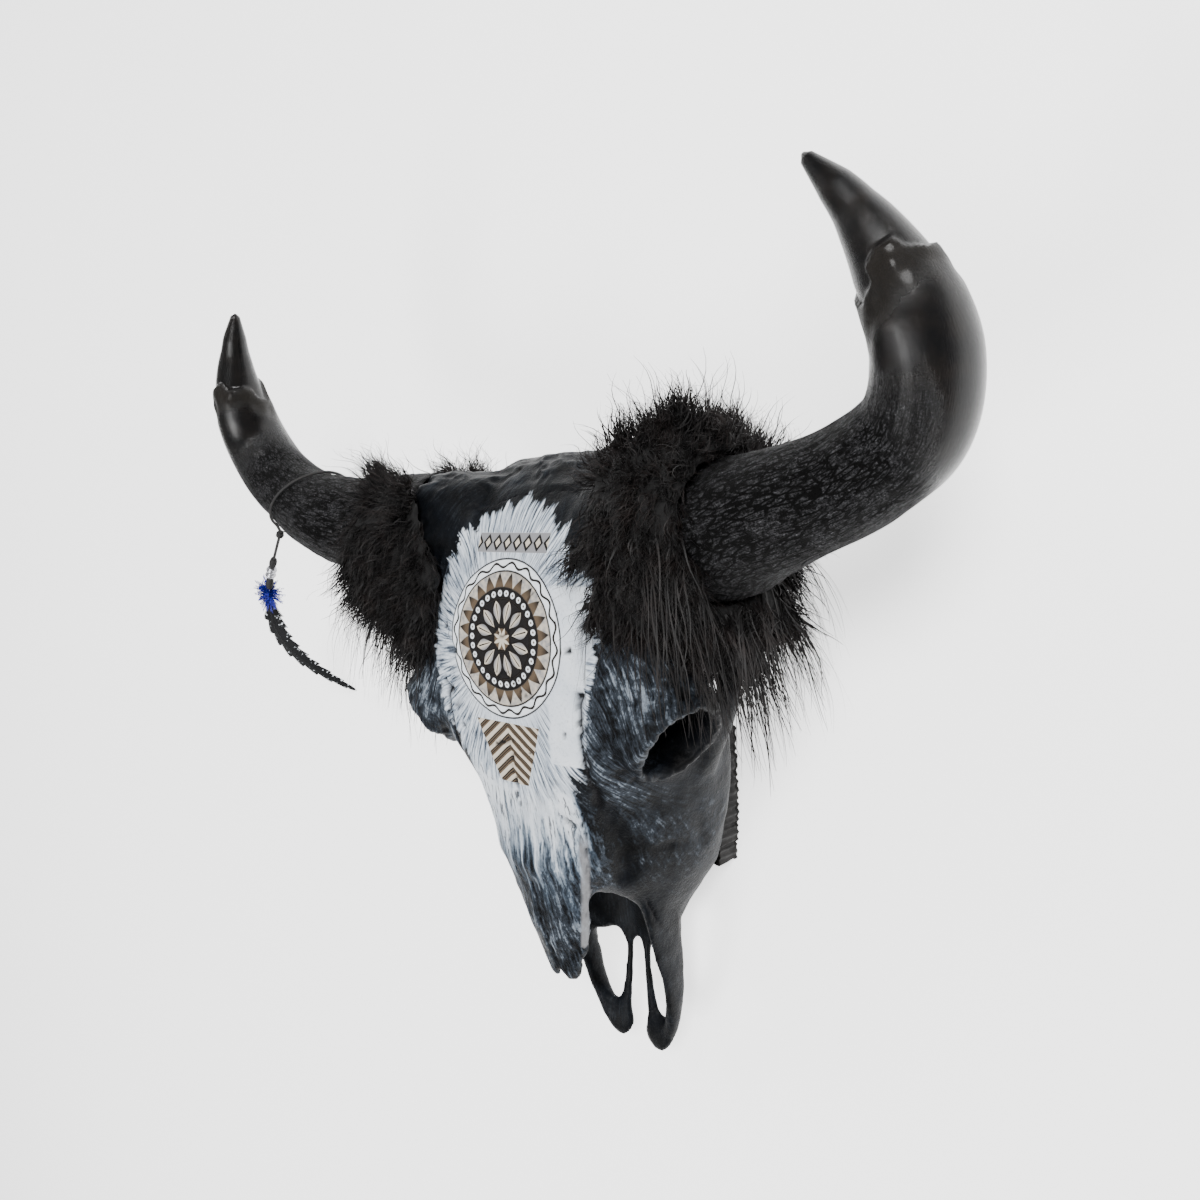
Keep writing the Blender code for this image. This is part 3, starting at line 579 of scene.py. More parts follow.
def horn_keratin():
    """Glossy near the tip, brown at the broken step, and dull, split and fibrous towards the base."""
    paint = Paint("horn", (0.012, 0.012, 0.012), 0.3, coat=0.3)
    along = paint.stored("along")
    around = paint.stored("around")
    dull = paint.stored("dull")
    broken = paint.stored("broken")
    fibre = paint.noise(paint.vector(along * 13.0, around * 44.0, 0.0), 6.0, 6.0, 0.75, 0.6)
    grit = paint.noise(paint.place(), 800.0, 4.0, 0.7)
    flaw = paint.noise(paint.place(), 70.0, 4.0, 0.6)
    crazing = paint.cells(paint.vector(along * 22.0, around * 44.0, flaw * 1.5), 1.5, "DISTANCE_TO_EDGE")
    tone = paint.mix(flaw.over(0.55, 0.3), (0.0030, 0.0030, 0.0033), (0.0085, 0.0070, 0.0062))
    worn = (fibre * 0.7 + grit * 0.6).over(0.69, 0.16)
    ashen = paint.mix(worn, (0.0018, 0.0018, 0.002), (0.066, 0.066, 0.070))
    tone = paint.mix(dull, tone, ashen)
    # Painted glints: pale flecks on the dull base stand for light sparkling off its fibres.
    fleck = grit.over(0.64, 0.05) * fibre.over(0.5, 0.15)
    tone = paint.mix(fleck * dull, tone, (0.15, 0.15, 0.16))
    split = crazing.under(0.11, 0.06) * flaw.over(0.42, 0.1) * dull
    tone = paint.mix(split, tone, (0.001, 0.001, 0.001))
    tone = paint.mix(broken * (fibre + flaw * 0.4).over(0.62, 0.35), tone, (0.011, 0.009, 0.007))
    paint.set("Base Color", tone)
    paint.set("Roughness", 0.16 + dull * 0.42 + broken * 0.3 + grit * 0.10)
    paint.set("Coat Weight", (1.0 - dull) * 0.08)
    paint.set("Specular IOR Level", 0.24 - dull * 0.14 - broken * 0.1)
    height = fibre * (dull * 1.3 + 0.10) + grit * (dull + broken * 0.8 + 0.03) - split * 1.2
    paint.bump(height, 0.9, 0.0018)
    return paint.material


def hair(name, colour, tip):
    paint = Paint(name, colour, 0.6)
    paint.set("Specular IOR Level", 0.3)
    mottle = paint.noise(paint.place(), 60.0, 3.0)
    tone = paint.mix(mottle.over(0.56, 0.25), colour, tip)
    paint.set("Base Color", tone)
    return paint.material


def plain(name, colour, roughness, scale=900.0, contrast=0.5, coat=0.0, metallic=0.0):
    """A one-colour finish with a fine grain."""
    paint = Paint(name, colour, roughness, coat=coat, metallic=metallic)
    grain = paint.noise(paint.place(), scale, 3.0)
    dark = tuple(c * (1 - contrast) for c in colour)
    paint.set("Base Color", paint.mix(grain.over(0.5, 0.6), dark, colour))
    paint.bump(grain, 0.35, 0.0005)
    return paint.material


def feather_black(colours):
    """Dark barbs with white flecks near the vane's edges."""
    paint = Paint("feather", (0.002, 0.0022, 0.003), 0.5)
    paint.set("Specular IOR Level", 0.05)
    fleck = paint.cells(paint.place(), 190.0).under(0.30, 0.12) * paint.stored("edge").over(0.45, 0.2)
    speck = paint.noise(paint.place(), 300.0, 2.0).over(0.52, 0.05)
    paint.set("Base Color", paint.mix(fleck * speck, (0.002, 0.0022, 0.003), colours[-1]))
    return paint.material


def mirrored_path(path):
    return [(-x, y, z) for x, y, z in path]


def bone_relief(places, normals):
    """How far each spot stands out, and how dark its seams, cracks and pits make it; the pits' dark is
    painted shade.
    """
    relief = 0.7 * noise(places, 30, 1) + 0.35 * noise(places, 11, 2) + 0.18 * noise(places, 5, 3)
    x, y, z = np.abs(places[:, 0]), places[:, 1], places[:, 2]
    flank = smooth_step(74, 92, x) * smooth_step(-48, -10, y) * smooth_step(-70, -45, z)
    relief += flank * (0.9 * ridges(places, 7, 4) - 0.4 + 0.7 * noise(places, 14, 5))
    crown = smooth_step(186, 214, y) * smooth_step(-110, -60, z)
    relief += crown * (1.6 * ridges(places * (1, 0.6, 1), 10, 6) - 0.6)
    bridge = smooth_step(-20, -60, y) * smooth_step(60, 44, x) * smooth_step(-62, -48, z)
    relief += bridge * (0.7 * noise(places * (1, 0.22, 1), 5, 7) + 0.5 * noise(places, 9, 8))
    plateau = smooth_step(90, 78, x + 2.5 * noise(places, 12, 9)) * smooth_step(-40, -10, y)
    relief += plateau * smooth_step(150, 120, y) * smooth_step(-30, -12, z) * 1.3
    folded = np.column_stack([x, y, z])
    offset = folded - ORBIT_CENTRE
    axis = ORBIT_AXIS / np.linalg.norm(ORBIT_AXIS)
    depth = offset @ axis
    ring = np.linalg.norm(offset - depth[:, None] * axis, axis=1)
    rim = np.exp(-(((ring - ORBIT_RADIUS) / 8) ** 2)) * smooth_step(-16, 2, depth)
    relief += rim * (1.1 * ridges(places, 5, 10) - 0.2)
    seams_and_pit_shade = np.zeros(len(places))
    wobble = places + np.column_stack([noise(places, 6, s) for s in (11, 12, 13)]) * 1.6
    for n, (path, width, drop) in enumerate(SEAMS):
        flat = np.array([1, 1, FLATTENING if n == FLAT_SEAM else 1])
        for line in (path, mirrored_path(path)):
            near, _ = path_distance(wobble * flat, np.array(line) * flat)
            trough = np.exp(-((near / width) ** 2))
            relief -= trough * drop
            if width < 3:
                seams_and_pit_shade = np.maximum(seams_and_pit_shade, smooth_step(0.45, 0.9, trough))
    for centre, radius in PITS:
        for spot in (centre, (-centre[0] + 5, centre[1] - 8, centre[2])):
            away = (wobble - spot) * (1, 1, FLATTENING)
            trough = np.exp(-((np.linalg.norm(away, axis=1) / radius) ** 2))
            relief -= trough * radius * 1.3
            # Painted shade: each pit is darkened for the shade inside the hole.
            seams_and_pit_shade = np.maximum(seams_and_pit_shade, smooth_step(0.35, 0.75, trough))
    hairline = ridges(places * (1, 0.5, 1), 38, 21) * (x < 82) * (y > -160)
    crack = smooth_step(0.972, 0.99, hairline) * smooth_step(-0.2, 0.2, noise(places, 45, 22))
    return relief - crack * 0.6, np.clip(seams_and_pit_shade + crack * 0.8, 0, 1), rim


def swept(u, v, seed):
    """Noise in two directions that are stretched by different amounts."""
    return noise(np.column_stack([u, v, 0 * u]), 1, seed)


def bone_paint(mesh, places, normals, relief, seams_and_pit_shade, rim):
    """Stores where the white brushwork, the drips, and the pale dry brushing that also serves as painted
    highlights lie.
    """
    x, y, z = places.T
    upward = smooth_step(0.25, 0.6, normals[:, 2])
    angle = np.arctan2(x, y - BRUSH_Y)
    low_reach = np.where(x > 0, 132, 108)
    reach = np.hypot(x / BRUSH_HALF_WIDTH, (y - BRUSH_Y) / np.where(y > BRUSH_Y, 104, low_reach))
    brush = swept(angle * 34, reach * 3, 31) + 0.6 * swept(angle * 70, reach * 4, 32)
    brushed = smooth_step(1.16, 0.96, reach + 0.10 * brush) * upward
    ledge = np.interp(y, [9, 46, 119], [71, 76, 92])
    ledge_white = smooth_step(2.0, -0.5, x - ledge + 2.5 * noise(places, 9, 35))
    ledge_white *= smooth_step(24, 52, x + 7 * noise(places, 10, 37))
    ledge_white *= smooth_step(-14, -4, y + 5 * noise(places, 12, 36)) * smooth_step(150, 120, y) * upward
    brushed *= smooth_step(12, 2, x - ledge - np.where(y > 119, 30, 0))
    set_attribute(mesh, "brushed", np.maximum(brushed, 1.35 * ledge_white))
    bridge = smooth_step(10, -20, y) * smooth_step(60, 50, np.abs(x)) * smooth_step(-66, -56, z) * upward
    streak = swept(x / 2.6, y / 70, 33) + 0.5 * swept(x / 1.6, y / 40, 34)
    fade = smooth_step(-165, -15, y + 34 * streak)
    set_attribute(mesh, "drips", bridge * fade)
    side_path = SEAMS[2][0] + [(31, -160, -50)]
    pale = np.zeros(len(places))
    for line in (side_path, mirrored_path(side_path)):
        near, along = path_distance(places + np.array([3.0 * np.sign(line[0][0]), 0, 0]), line)
        pale = np.maximum(pale, smooth_step(4.2, 3.0, near) * smooth_step(0.08, 0.2, along))
    set_attribute(mesh, "pale_edge", pale)
    # Pale dry brushing on the flank, cheek and nose, partly real paint and partly painted highlights on their
    # ridges.
    flank = smooth_step(64, 80, np.abs(x)) * smooth_step(-60, -20, y) * smooth_step(-72, -30, z)
    flank *= smooth_step(150, 125, y)
    cheek = np.exp(-((np.abs(x) - 72) ** 2 + (y + 62) ** 2) / 900)
    folded = np.column_stack([np.abs(x), y, z])
    beside, _ = path_distance(folded, [(64, -46, -27), (60, -75, -38), (53, -108, -50)])
    cheek = 0.45 * cheek + 0.9 * np.exp(-((beside / 6) ** 2))
    nose = smooth_step(-10, -60, y) * smooth_step(62, 48, np.abs(x)) * smooth_step(-62, -48, z)
    set_attribute(mesh, "drybrush_and_highlight", np.clip(0.04 + 0.9 * flank + cheek + 0.8 * nose - 0.6 * rim, 0, 1))
    set_attribute(mesh, "relief", np.clip(0.5 + relief * 0.35, 0, 1))
    set_attribute(mesh, "carved", upward * smooth_step(-24, -8, z))
    set_attribute(mesh, "seams_and_pit_shade", seams_and_pit_shade)


def make_skull(settings, finish):
    obj = solid_copy("skull_bone", "skull")
    refined(obj, settings.bone_detail / MM, 5)
    baked(obj, finish)
    mesh = obj.data
    places, normals = vertex_places(mesh)
    relief, seams_and_pit_shade, rim = bone_relief(places, normals)
    inset = 0.5
    lift = np.where(places[:, 2] < BONE_FLOOR_Z, 0.0, np.clip(relief, -6, 1.8) - inset)
    bone_paint(mesh, places, normals, relief, seams_and_pit_shade, rim)
    set_places(mesh, places + normals * lift[:, None])
    finished(obj, "painted_bone", "skull")


def make_teeth(finish):
    for side in ("left", "right"):
        nodes = [f"tooth_{side}_{n}" for n in range(1, 7)]
        obj = solid_copy(f"tooth_row_{side}", *nodes)
        refined(obj, 1.0, 3, levels=0)
        baked(obj, finish)
        places, normals = vertex_places(obj.data)
        worn = 0.5 * noise(places * (1, 1, 0.3), 4, 41) + 0.6 * noise(places, 8, 42)
        worn = np.where(places[:, 2] < TOOTH_FLOOR_Z, 0.0, worn - 0.5)
        set_places(obj.data, places + normals * worn[:, None])
        finished(obj, "painted_teeth", *nodes)


def horn_radius(share):
    shares = np.linspace(0, 1, len(HORN_RADII))
    return np.interp(share, shares, HORN_RADII)


def horn_frames(count):
    """Centre, side and rise at even steps from the base to the tip."""
    line = smooth_line(HORN_LINE, count)[::-1]
    tangents = np.gradient(line, axis=0)
    side = Vector((0, 1, 0))
    previous = Vector((1, 0, 0))
    rows = []
    for k, centre in enumerate(line):
        tangent = Vector((1, 0, 0)) if k == 0 else Vector(tangents[k]).normalized()
        side = previous.rotation_difference(tangent) @ side
        previous = tangent
        rows.append((centre, np.array(side), np.array(tangent.cross(side))))
    return rows


def make_horn(name, side, finish, seed):
    """The horn sheath: smooth tip, broken outer layer, smooth outer band and a split, fibrous base."""
    stations, around_count = 250, 84
    rows = horn_frames(stations)
    angles = np.arange(around_count) * 2 * math.pi / around_count
    even = np.zeros(around_count)
    rings = []
    socket = ((SOCKET_END_X, 0.4), (SOCKET_END_X, SOCKET_RADIUS), (SHEATH_OPEN_X, SOCKET_RADIUS))
    for x, radius in socket:
        spots = [(x, SOCKET_Y + radius * math.cos(a), SOCKET_Z + radius * math.sin(a)) for a in angles]
        rings.append((spots, even + 1, even + 1, even))
    for k, (centre, across, rise) in enumerate(rows):
        share = 1 - k / (stations - 1)
        radius = horn_radius(share) * HORN_SHRINK * min(1.0, 0.35 + share / 0.012)
        dirs = np.outer(np.cos(angles), across) + np.outer(np.sin(angles), rise)
        spots = centre + dirs * radius
        edge = STEP_SHARE + 0.02 * np.sin(angles * 2 + 0.6 + seed)
        edge += 0.007 * noise(spots, 7, seed) + 0.020 * noise(spots, 18, seed + 1)
        below = smooth_step(-0.0025, 0.0035, share - edge)
        step = (1 - below) * STEP_DEPTH * min(1.0, share / 0.1)
        outer = smooth_step(-0.2, 0.55, dirs @ np.array([0.8, 0.35, -0.35]))
        rough = smooth_step(0.30, 0.50, share + 0.10 * noise(spots, 40, seed + 2) - 0.16 * outer)
        fibres = swept(angles * 22, share * 16 + 0 * angles, seed + 3)
        slow = noise(spots, 22, seed + 4)
        growth = math.sin(share * 150 + 2.2 * math.sin(share * 37)) * smooth_step(0.6, 0.8, share)
        flake = np.exp(-(((share - edge - 0.02) / 0.03) ** 2)) * below
        lift = rough * (0.55 * fibres + 0.9 * slow + 0.45 * growth - 0.6) - step
        lift += flake * (1.3 * noise(spots, 9, seed + 5) - 0.7)
        spots = centre + dirs * (radius + lift)[:, None]
        rings.append((spots, even + share, np.clip(rough, 0, 1), np.clip(flake, 0, 1)))
    points, along, dull, broken = (np.concatenate(part) for part in zip(*rings))
    around = np.tile(angles / (2 * math.pi), len(rings))
    faces = []
    for r in range(len(rings) - 1):
        for i in range(around_count):
            j = (i + 1) % around_count
            low, high = r * around_count, (r + 1) * around_count
            faces.append((low + i, low + j, high + j, high + i))
    faces.append(tuple(reversed(range(around_count))))
    last = (len(rings) - 1) * around_count
    faces.append(tuple(last + i for i in range(around_count)))
    places = [at(side * x, y, z) for x, y, z in points]
    if side < 0:
        faces = [tuple(reversed(face)) for face in faces]
    obj = mesh_object(name, places, faces, finish)
    for label, values in (("along", along), ("around", around), ("dull", dull), ("broken", broken)):
        set_attribute(obj.data, label, values)
    finished(obj, "horn_sheath", f"horn_{'left' if side > 0 else 'right'}")


def lock_mesh(name, dice, strands, length, curl, finish):
    """A lock of fine curled ribbons that grows along +Z from the origin."""
    segments = 9
    points, faces = [], []
    for _ in range(strands):
        start = Vector((dice.uniform(-1, 1), dice.uniform(-1, 1), 0)) * 3.4 * MM
        lean = Vector((dice.uniform(-0.35, 0.35), dice.uniform(-0.35, 0.35), 0))
        stray = dice.random() < 0.08
        reach = length * (dice.uniform(1.2, 1.6) if stray else dice.uniform(0.55, 1.0))
        turn = dice.uniform(0, 2 * math.pi)
        twist = dice.uniform(3.5, 8.5)
        wave = curl * dice.uniform(0.4, 1.1)
        width = dice.uniform(0.35, 0.65) * MM
        flat = dice.uniform(0, math.pi)
        first = len(points)
        for s in range(segments + 1):
            t = s / segments
            sway = Vector((math.cos(turn + twist * t), math.sin(turn + twist * t), 0)) * wave * t
            centre = start + (lean * reach + Vector((0, 0, reach))) * t + sway
            half = width * (1 - 0.85 * t)
            spin = flat + 1.6 * t
            offset = Vector((math.cos(spin), math.sin(spin), 0.2)) * half
            points += [centre - offset, centre + offset]
        for s in range(segments):
            a = first + 2 * s
            faces.append((a, a + 1, a + 3, a + 2))
    return mesh_object(name, points, faces, finish)


def hair_scatter(name, count_per_metre, locks, seed, finish):
    """Geometry nodes that stand locks on a hide along its combing, each turned and sized at random."""
    tree = bpy.data.node_groups.new(name, "GeometryNodeTree")
    tree.interface.new_socket("Geometry", in_out="INPUT", socket_type="NodeSocketGeometry")
    for label, default, kind in (
        ("Density", count_per_metre, "NodeSocketFloat"),
        ("Smallest", 0.6, "NodeSocketFloat"),
        ("Largest", 1.15, "NodeSocketFloat"),
        ("Seed", seed, "NodeSocketInt"),
    ):
        tree.interface.new_socket(label, in_out="INPUT", socket_type=kind).default_value = default
    tree.interface.new_socket("Geometry", in_out="OUTPUT", socket_type="NodeSocketGeometry")

    def add(kind, inputs=(), **settings):
        """A new node whose inputs get the given values or links."""
        node = tree.nodes.new(kind)
        for name, value in settings.items():
            setattr(node, name, value)
        for key, value in dict(inputs).items():
            if isinstance(value, bpy.types.NodeSocket):
                tree.links.new(value, node.inputs[key])
            else:
                node.inputs[key].default_value = value
        return node.outputs

    given = add("NodeGroupInput")
    seeded = {"Seed": given["Seed"]}
    on_hide = {"Mesh": given["Geometry"], "Density": given["Density"]}
    spread = add("GeometryNodeDistributePointsOnFaces", on_hide | seeded)
    way = add("GeometryNodeInputNamedAttribute", {"Name": "combing"}, data_type="FLOAT_VECTOR")
    any_turn = {"Min": (0, 0, 0), "Max": (0, 0, 2 * math.pi)}
    spin = add("FunctionNodeRandomValue", any_turn | seeded, data_type="FLOAT_VECTOR")
    turned = add("FunctionNodeEulerToRotation", {0: spin[0]})
    stand = {"Rotation": turned[0], "Vector": way["Attribute"]}
    aim = add("FunctionNodeAlignRotationToVector", stand, axis="Z")
    scale = add("FunctionNodeRandomValue", {2: given["Smallest"], 3: given["Largest"]} | seeded)
    children = {"Collection": locks, "Separate Children": True, "Reset Children": True}
    bundle = add("GeometryNodeCollectionInfo", children)
    at_points = {"Points": spread["Points"], "Instance": bundle[0], "Pick Instance": True}
    pick = add("GeometryNodeInstanceOnPoints", at_points | {"Rotation": aim[0], "Scale": scale[1]})
    real = add("GeometryNodeRealizeInstances", {0: pick[0]})
    coat = add("GeometryNodeSetMaterial", {"Geometry": real[0], "Material": finish})
    add("NodeGroupOutput", {0: coat[0]})
    return tree


def combing(places, normals, side, seed):
    """The way the hair lies: outwards, down over the brow, and up behind the horn."""
    folded = places * np.array([side, 1, 1])
    outward = folded - HIDE_CENTRE
    outward /= np.linalg.norm(outward, axis=1)[:, None]
    behind = smooth_step(185, 215, folded[:, 1])[:, None]
    fall = np.array([0.25, -1.0, -0.1]) * (1 - behind) + np.array([0.15, 0.9, 0.35]) * behind
    swirl = np.column_stack([noise(places, 24, seed + s) for s in (1, 2, 3)])
    way = fall * 0.85 + outward * 0.45 + swirl * 0.55
    way *= np.array([side, 1, 1])
    way += normals * 0.3
    return way / np.linalg.norm(way, axis=1)[:, None]


def make_strays(label, places, way, dice, count, finish):
    """Long loose strands: they hang from the hide's lower edge and stand off its upper one."""
    points, faces = [], []
    x, y, z = np.abs(places[:, 0]), places[:, 1], places[:, 2]
    hanging = np.flatnonzero((y < np.percentile(y, 30)) & (z > -110))
    standing = np.flatnonzero((y > np.percentile(y, 88)) & (z > -60))
    over_horn = np.flatnonzero((x > np.percentile(x, 78)) & (z > -90))
    outer = np.flatnonzero((x > np.percentile(x, 55)) & (y < np.percentile(y, 55)) & (z > -120))
    sign = 1 if places[0, 0] > 0 else -1
    kinds = [
        (hanging, Vector((0.15 * sign, -1.0, -0.15)), (30, 78)),
        (hanging, Vector((0.45 * sign, -0.9, -0.1)), (26, 60)),
        (over_horn, Vector((1.0 * sign, -0.35, 0.1)), (16, 40)),
        (outer, Vector((0.1 * sign, -1.0, -0.05)), (40, 84)),
        (outer, Vector((0.3 * sign, -1.0, -0.1)), (30, 70)),
        (standing, Vector((0.3 * sign, 0.5, 0.35)), (14, 28)),
    ]
    bends = 12
    for n in range(count):
        pool, pull, lengths = kinds[n % len(kinds)]
        k = dice.choice(pool.tolist())
        root = Vector(places[k])
        start = Vector(way[k])
        length = dice.uniform(*lengths)
        turn, twist = dice.uniform(0, 6.3), dice.uniform(2, 6)
        wave = dice.uniform(1.5, 5)
        line = []
        for s in range(bends + 1):
            t = s / bends
            sway = Vector((math.cos(turn + twist * t), 0.2, math.sin(turn + twist * t))) * wave * t
            line.append(root + start * (length * (t - 0.45 * t * t)) + pull * (length * 0.55 * t * t) + sway)
        width = dice.uniform(0.45, 0.85)
        across = start.cross(pull).normalized()
        ribbon(points, faces, line, [width * (1 - 0.85 * s / bends) for s in range(bends + 1)], across)
    finished(mesh_object(f"strays_{label}", points, faces, finish), "hair")


def make_hide(side, seed, base_finish, hair_finish, settings):
    """A hide's dark underwool, its darkness painted shade under the hair, and the locks on it."""
    label = "left" if side > 0 else "right"
    under = solid_copy(f"underwool_{label}", f"hide_{label}")
    refined(under, 2.6, 3)
    baked(under, base_finish)
    places, normals = vertex_places(under.data)
    fluff = 1.6 * ridges(places, 9, seed) + 1.0 * noise(places, 4.5, seed + 1) - 2.6
    set_places(under.data, places + normals * fluff[:, None])
    way = combing(places, normals, side, seed)
    store = under.data.attributes.new("combing", "FLOAT_VECTOR", "POINT")
    store.data.foreach_set("vector", way.astype(np.float32).ravel())
    dice = random.Random(seed)
    locks = bpy.data.collections.new(f"locks_{label}")
    for n in range(LOCK_SHAPES):
        length = settings.lock_length * dice.uniform(0.7, 1.1)
        lock = lock_mesh(f"lock_{label}_{n}", dice, STRANDS_IN_LOCK, length, LOCK_CURL, hair_finish)
        bpy.context.scene.collection.objects.unlink(lock)
        locks.objects.link(lock)
    area = sum(face.area for face in under.data.polygons)
    for layer in range(HAIR_LAYERS):
        coat = placed(f"hair_{label}_{layer + 1}", under.data)
        wanted = settings.locks_per_layer / area
        tree = hair_scatter(f"hair_{label}_{layer + 1}", wanted, locks, seed + layer, hair_finish)
        modifier = coat.modifiers.new("Hair", "NODES")
        modifier.node_group = tree
        sockets = {item.name: item.identifier for item in tree.interface.items_tree if item.in_out == "INPUT"}
        modifier[sockets["Density"]] = wanted
        modifier[sockets["Smallest"]] = 0.55
        modifier[sockets["Largest"]] = 1.1
        modifier[sockets["Seed"]] = seed + layer
        baked(coat, hair_finish)
        finished(coat, "hair")
    for lock in list(locks.objects):
        bpy.data.objects.remove(lock)
    bpy.data.collections.remove(locks)
    make_strays(label, places, way, dice, settings.stray_count, hair_finish)
    finished(under, "hair", f"hide_{label}")


def pendant_point(distance):
    run = FEATHER_TIP - KNOT
    t = distance / run.length
    bow = Vector((-0.6, -0.2, 0.77))
    bow = (bow - run * (bow.dot(run) / run.length_squared)).normalized()
    return KNOT + run * t + bow * (PENDANT_BOW * math.sin(math.pi * t))


def pendant_station(distance, face=Vector((0, 0, 1))):
    """A point of the pendant, and the directions along it, across it and out of it."""
    tangent = (pendant_point(distance + 1) - pendant_point(distance - 1)).normalized()
    side = tangent.cross(face).normalized()
    return pendant_point(distance), tangent, side, side.cross(tangent)


def thong_route():
    """Even points along the free thong."""
    return [pendant_point(THONG_START + (THONG_END - THONG_START) * i / 7) for i in range(8)]


def tube_along(line, radii, sides, closed=False):
    """Points and faces of a tube along a line in millimetres, with a radius for each of its points."""
    line = [Vector(p) for p in line]
    count = len(line)
    points, faces = [], []
    for k, centre in enumerate(line):
        ahead = line[(k + 1) % count] if closed else line[min(k + 1, count - 1)]
        behind = line[k - 1] if closed or k else line[0]
        tangent = (ahead - behind).normalized()
        side = tangent.cross(Vector((0, 0, 1)))
        side = side.normalized() if side.length > 0.01 else Vector((1, 0, 0))
        rise = side.cross(tangent)
        for i in range(sides):
            a = 2 * math.pi * i / sides
            points.append(centre + (side * math.cos(a) + rise * math.sin(a)) * radii[k])
    for k in range(count if closed else count - 1):
        for i in range(sides):
            j = (i + 1) % sides
            low, high = k * sides, ((k + 1) % count) * sides
            faces.append((low + i, high + i, high + j, low + j))
    if not closed:
        faces.append(tuple(range(sides)))
        faces.append(tuple(reversed([(count - 1) * sides + i for i in range(sides)])))
    return points, faces


def tube_object(name, parts, finish):
    """One object from several tubes, placed in the row frame."""
    points, faces = [], []
    for part_points, part_faces in parts:
        start = len(points)
        points += [at(*p) for p in part_points]
        faces += [tuple(start + i for i in face) for face in part_faces]
    return mesh_object(name, points, faces, finish)


def coil_line(start, end, radius, turns):
    """The path of thread wound round the pendant from one distance to another."""
    steps_per_turn = 14
    steps = int(turns * steps_per_turn)
    line = []
    for s in range(steps + 1):
        t = s / steps
        centre, _, side, rise = pendant_station(start + (end - start) * t)
        a = 2 * math.pi * turns * t
        line.append(centre + (side * math.cos(a) + rise * math.sin(a)) * radius(t))
    return line


def make_thong(finish):
    """The turn round the horn with its knot, and the short free end."""
    line = smooth_line(HORN_LINE, 101)
    loop = []
    loop_points = 72
    for i in range(loop_points):
        angle = 2 * math.pi * i / loop_points
        share = (LOOP_SHARE - LOOP_SLANT * math.cos(angle - KNOT_ANGLE)) * 100
        low = int(share)
        centre = Vector(line[low]).lerp(Vector(line[low + 1]), share - low)
        tangent = (Vector(line[low + 1]) - Vector(line[low])).normalized()
        side = tangent.cross(Vector((0, 0, 1))).normalized()
        rise = side.cross(tangent)
        pulled = KNOT_PULL * math.exp(-(((angle - KNOT_ANGLE) / KNOT_PULL_ANGLE) ** 2))
        radius = horn_radius(share / 100) * HORN_SHRINK + LOOP_GAP + pulled
        p = centre + (side * math.cos(angle) + rise * math.sin(angle)) * radius
        loop.append((-p.x, p.y, p.z))
    turn = tube_along(loop, [LOOP_RADIUS] * loop_points, 8, closed=True)
    band = tube_object("thong_round_horn", [turn], finish)
    finished(band, "thong", "horn_thong")
    hitch = coil_line(-3.0, 3.2, lambda t: 1.6 + 1.2 * math.sin(math.pi * t), 3.2)
    core = tube_along([pendant_point(d) for d in (-3.6, 0, 3.6)], [1.3, 1.8, 1.3], 8)
    knot = tube_object("knot", [tube_along(hitch, [1.1] * len(hitch), 7), core], finish)
    finished(knot, "thong", "thong_knot")
    curve = bpy.data.curves.new("thong_free_end", "CURVE")
    curve.dimensions = "3D"
    curve.bevel_depth = THONG_WIDTH / 2 * MM
    curve.bevel_resolution = 2
    curve.use_fill_caps = True
    route = thong_route()
    spline = curve.splines.new("POLY")
    spline.points.add(len(route) - 1)
    for point, place in zip(spline.points, route):
        point.co = (*at(*place), 1)
    curve.materials.append(finish)
    free = placed("thong_free_end", curve)
    finished(free, "thong", "pendant_thong")
    return free, knot


def make_wraps_and_beads(cord_finish, bead_finish):
    pieces = []
    for name, (low, high) in WRAPS.items():
        turns = (high - low) / THREAD_PITCH
        coil = coil_line(low + 0.8, high - 0.8, lambda t: 2.0 + 0.9 * math.sin(math.pi * t), turns)
        spots = [pendant_point(low + (high - low) * s / 4) for s in range(5)]
        core = tube_along(spots, [1.6, 2.2, 2.6, 2.2, 1.6], 8)
        thread = tube_along(coil, [THREAD_RADIUS] * len(coil), 6)
        obj = tube_object(f"{name}_thread", [thread, core], cord_finish)
        pieces.append(finished(obj, "thong", name))
    for name, low in BEADS.items():
        shares = [math.pi * s / 14 for s in range(15)]
        line = [pendant_point(low + 3.5 - BEAD_HALF * math.cos(a)) for a in shares]
        swell = [BEAD_HALF * math.sin(a) ** 0.7 * (1 - 0.1 * math.cos(6 * a)) for a in shares]
        radii = [BEAD_END_RADIUS + extra for extra in swell]
        obj = tube_object(name + "_silver", [tube_along(line, radii, 20)], bead_finish)
        pieces.append(finished(obj, "beads", name))
    return pieces


def ribbon(points, faces, line, widths, across):
    """Adds a flat ribbon along a line to lists of points and faces."""
    first = len(points)
    for centre, width in zip(line, widths):
        points += [at(*(centre - across * width)), at(*(centre + across * width))]
    for s in range(len(line) - 1):
        a = first + 2 * s
        faces.append((a, a + 1, a + 3, a + 2))


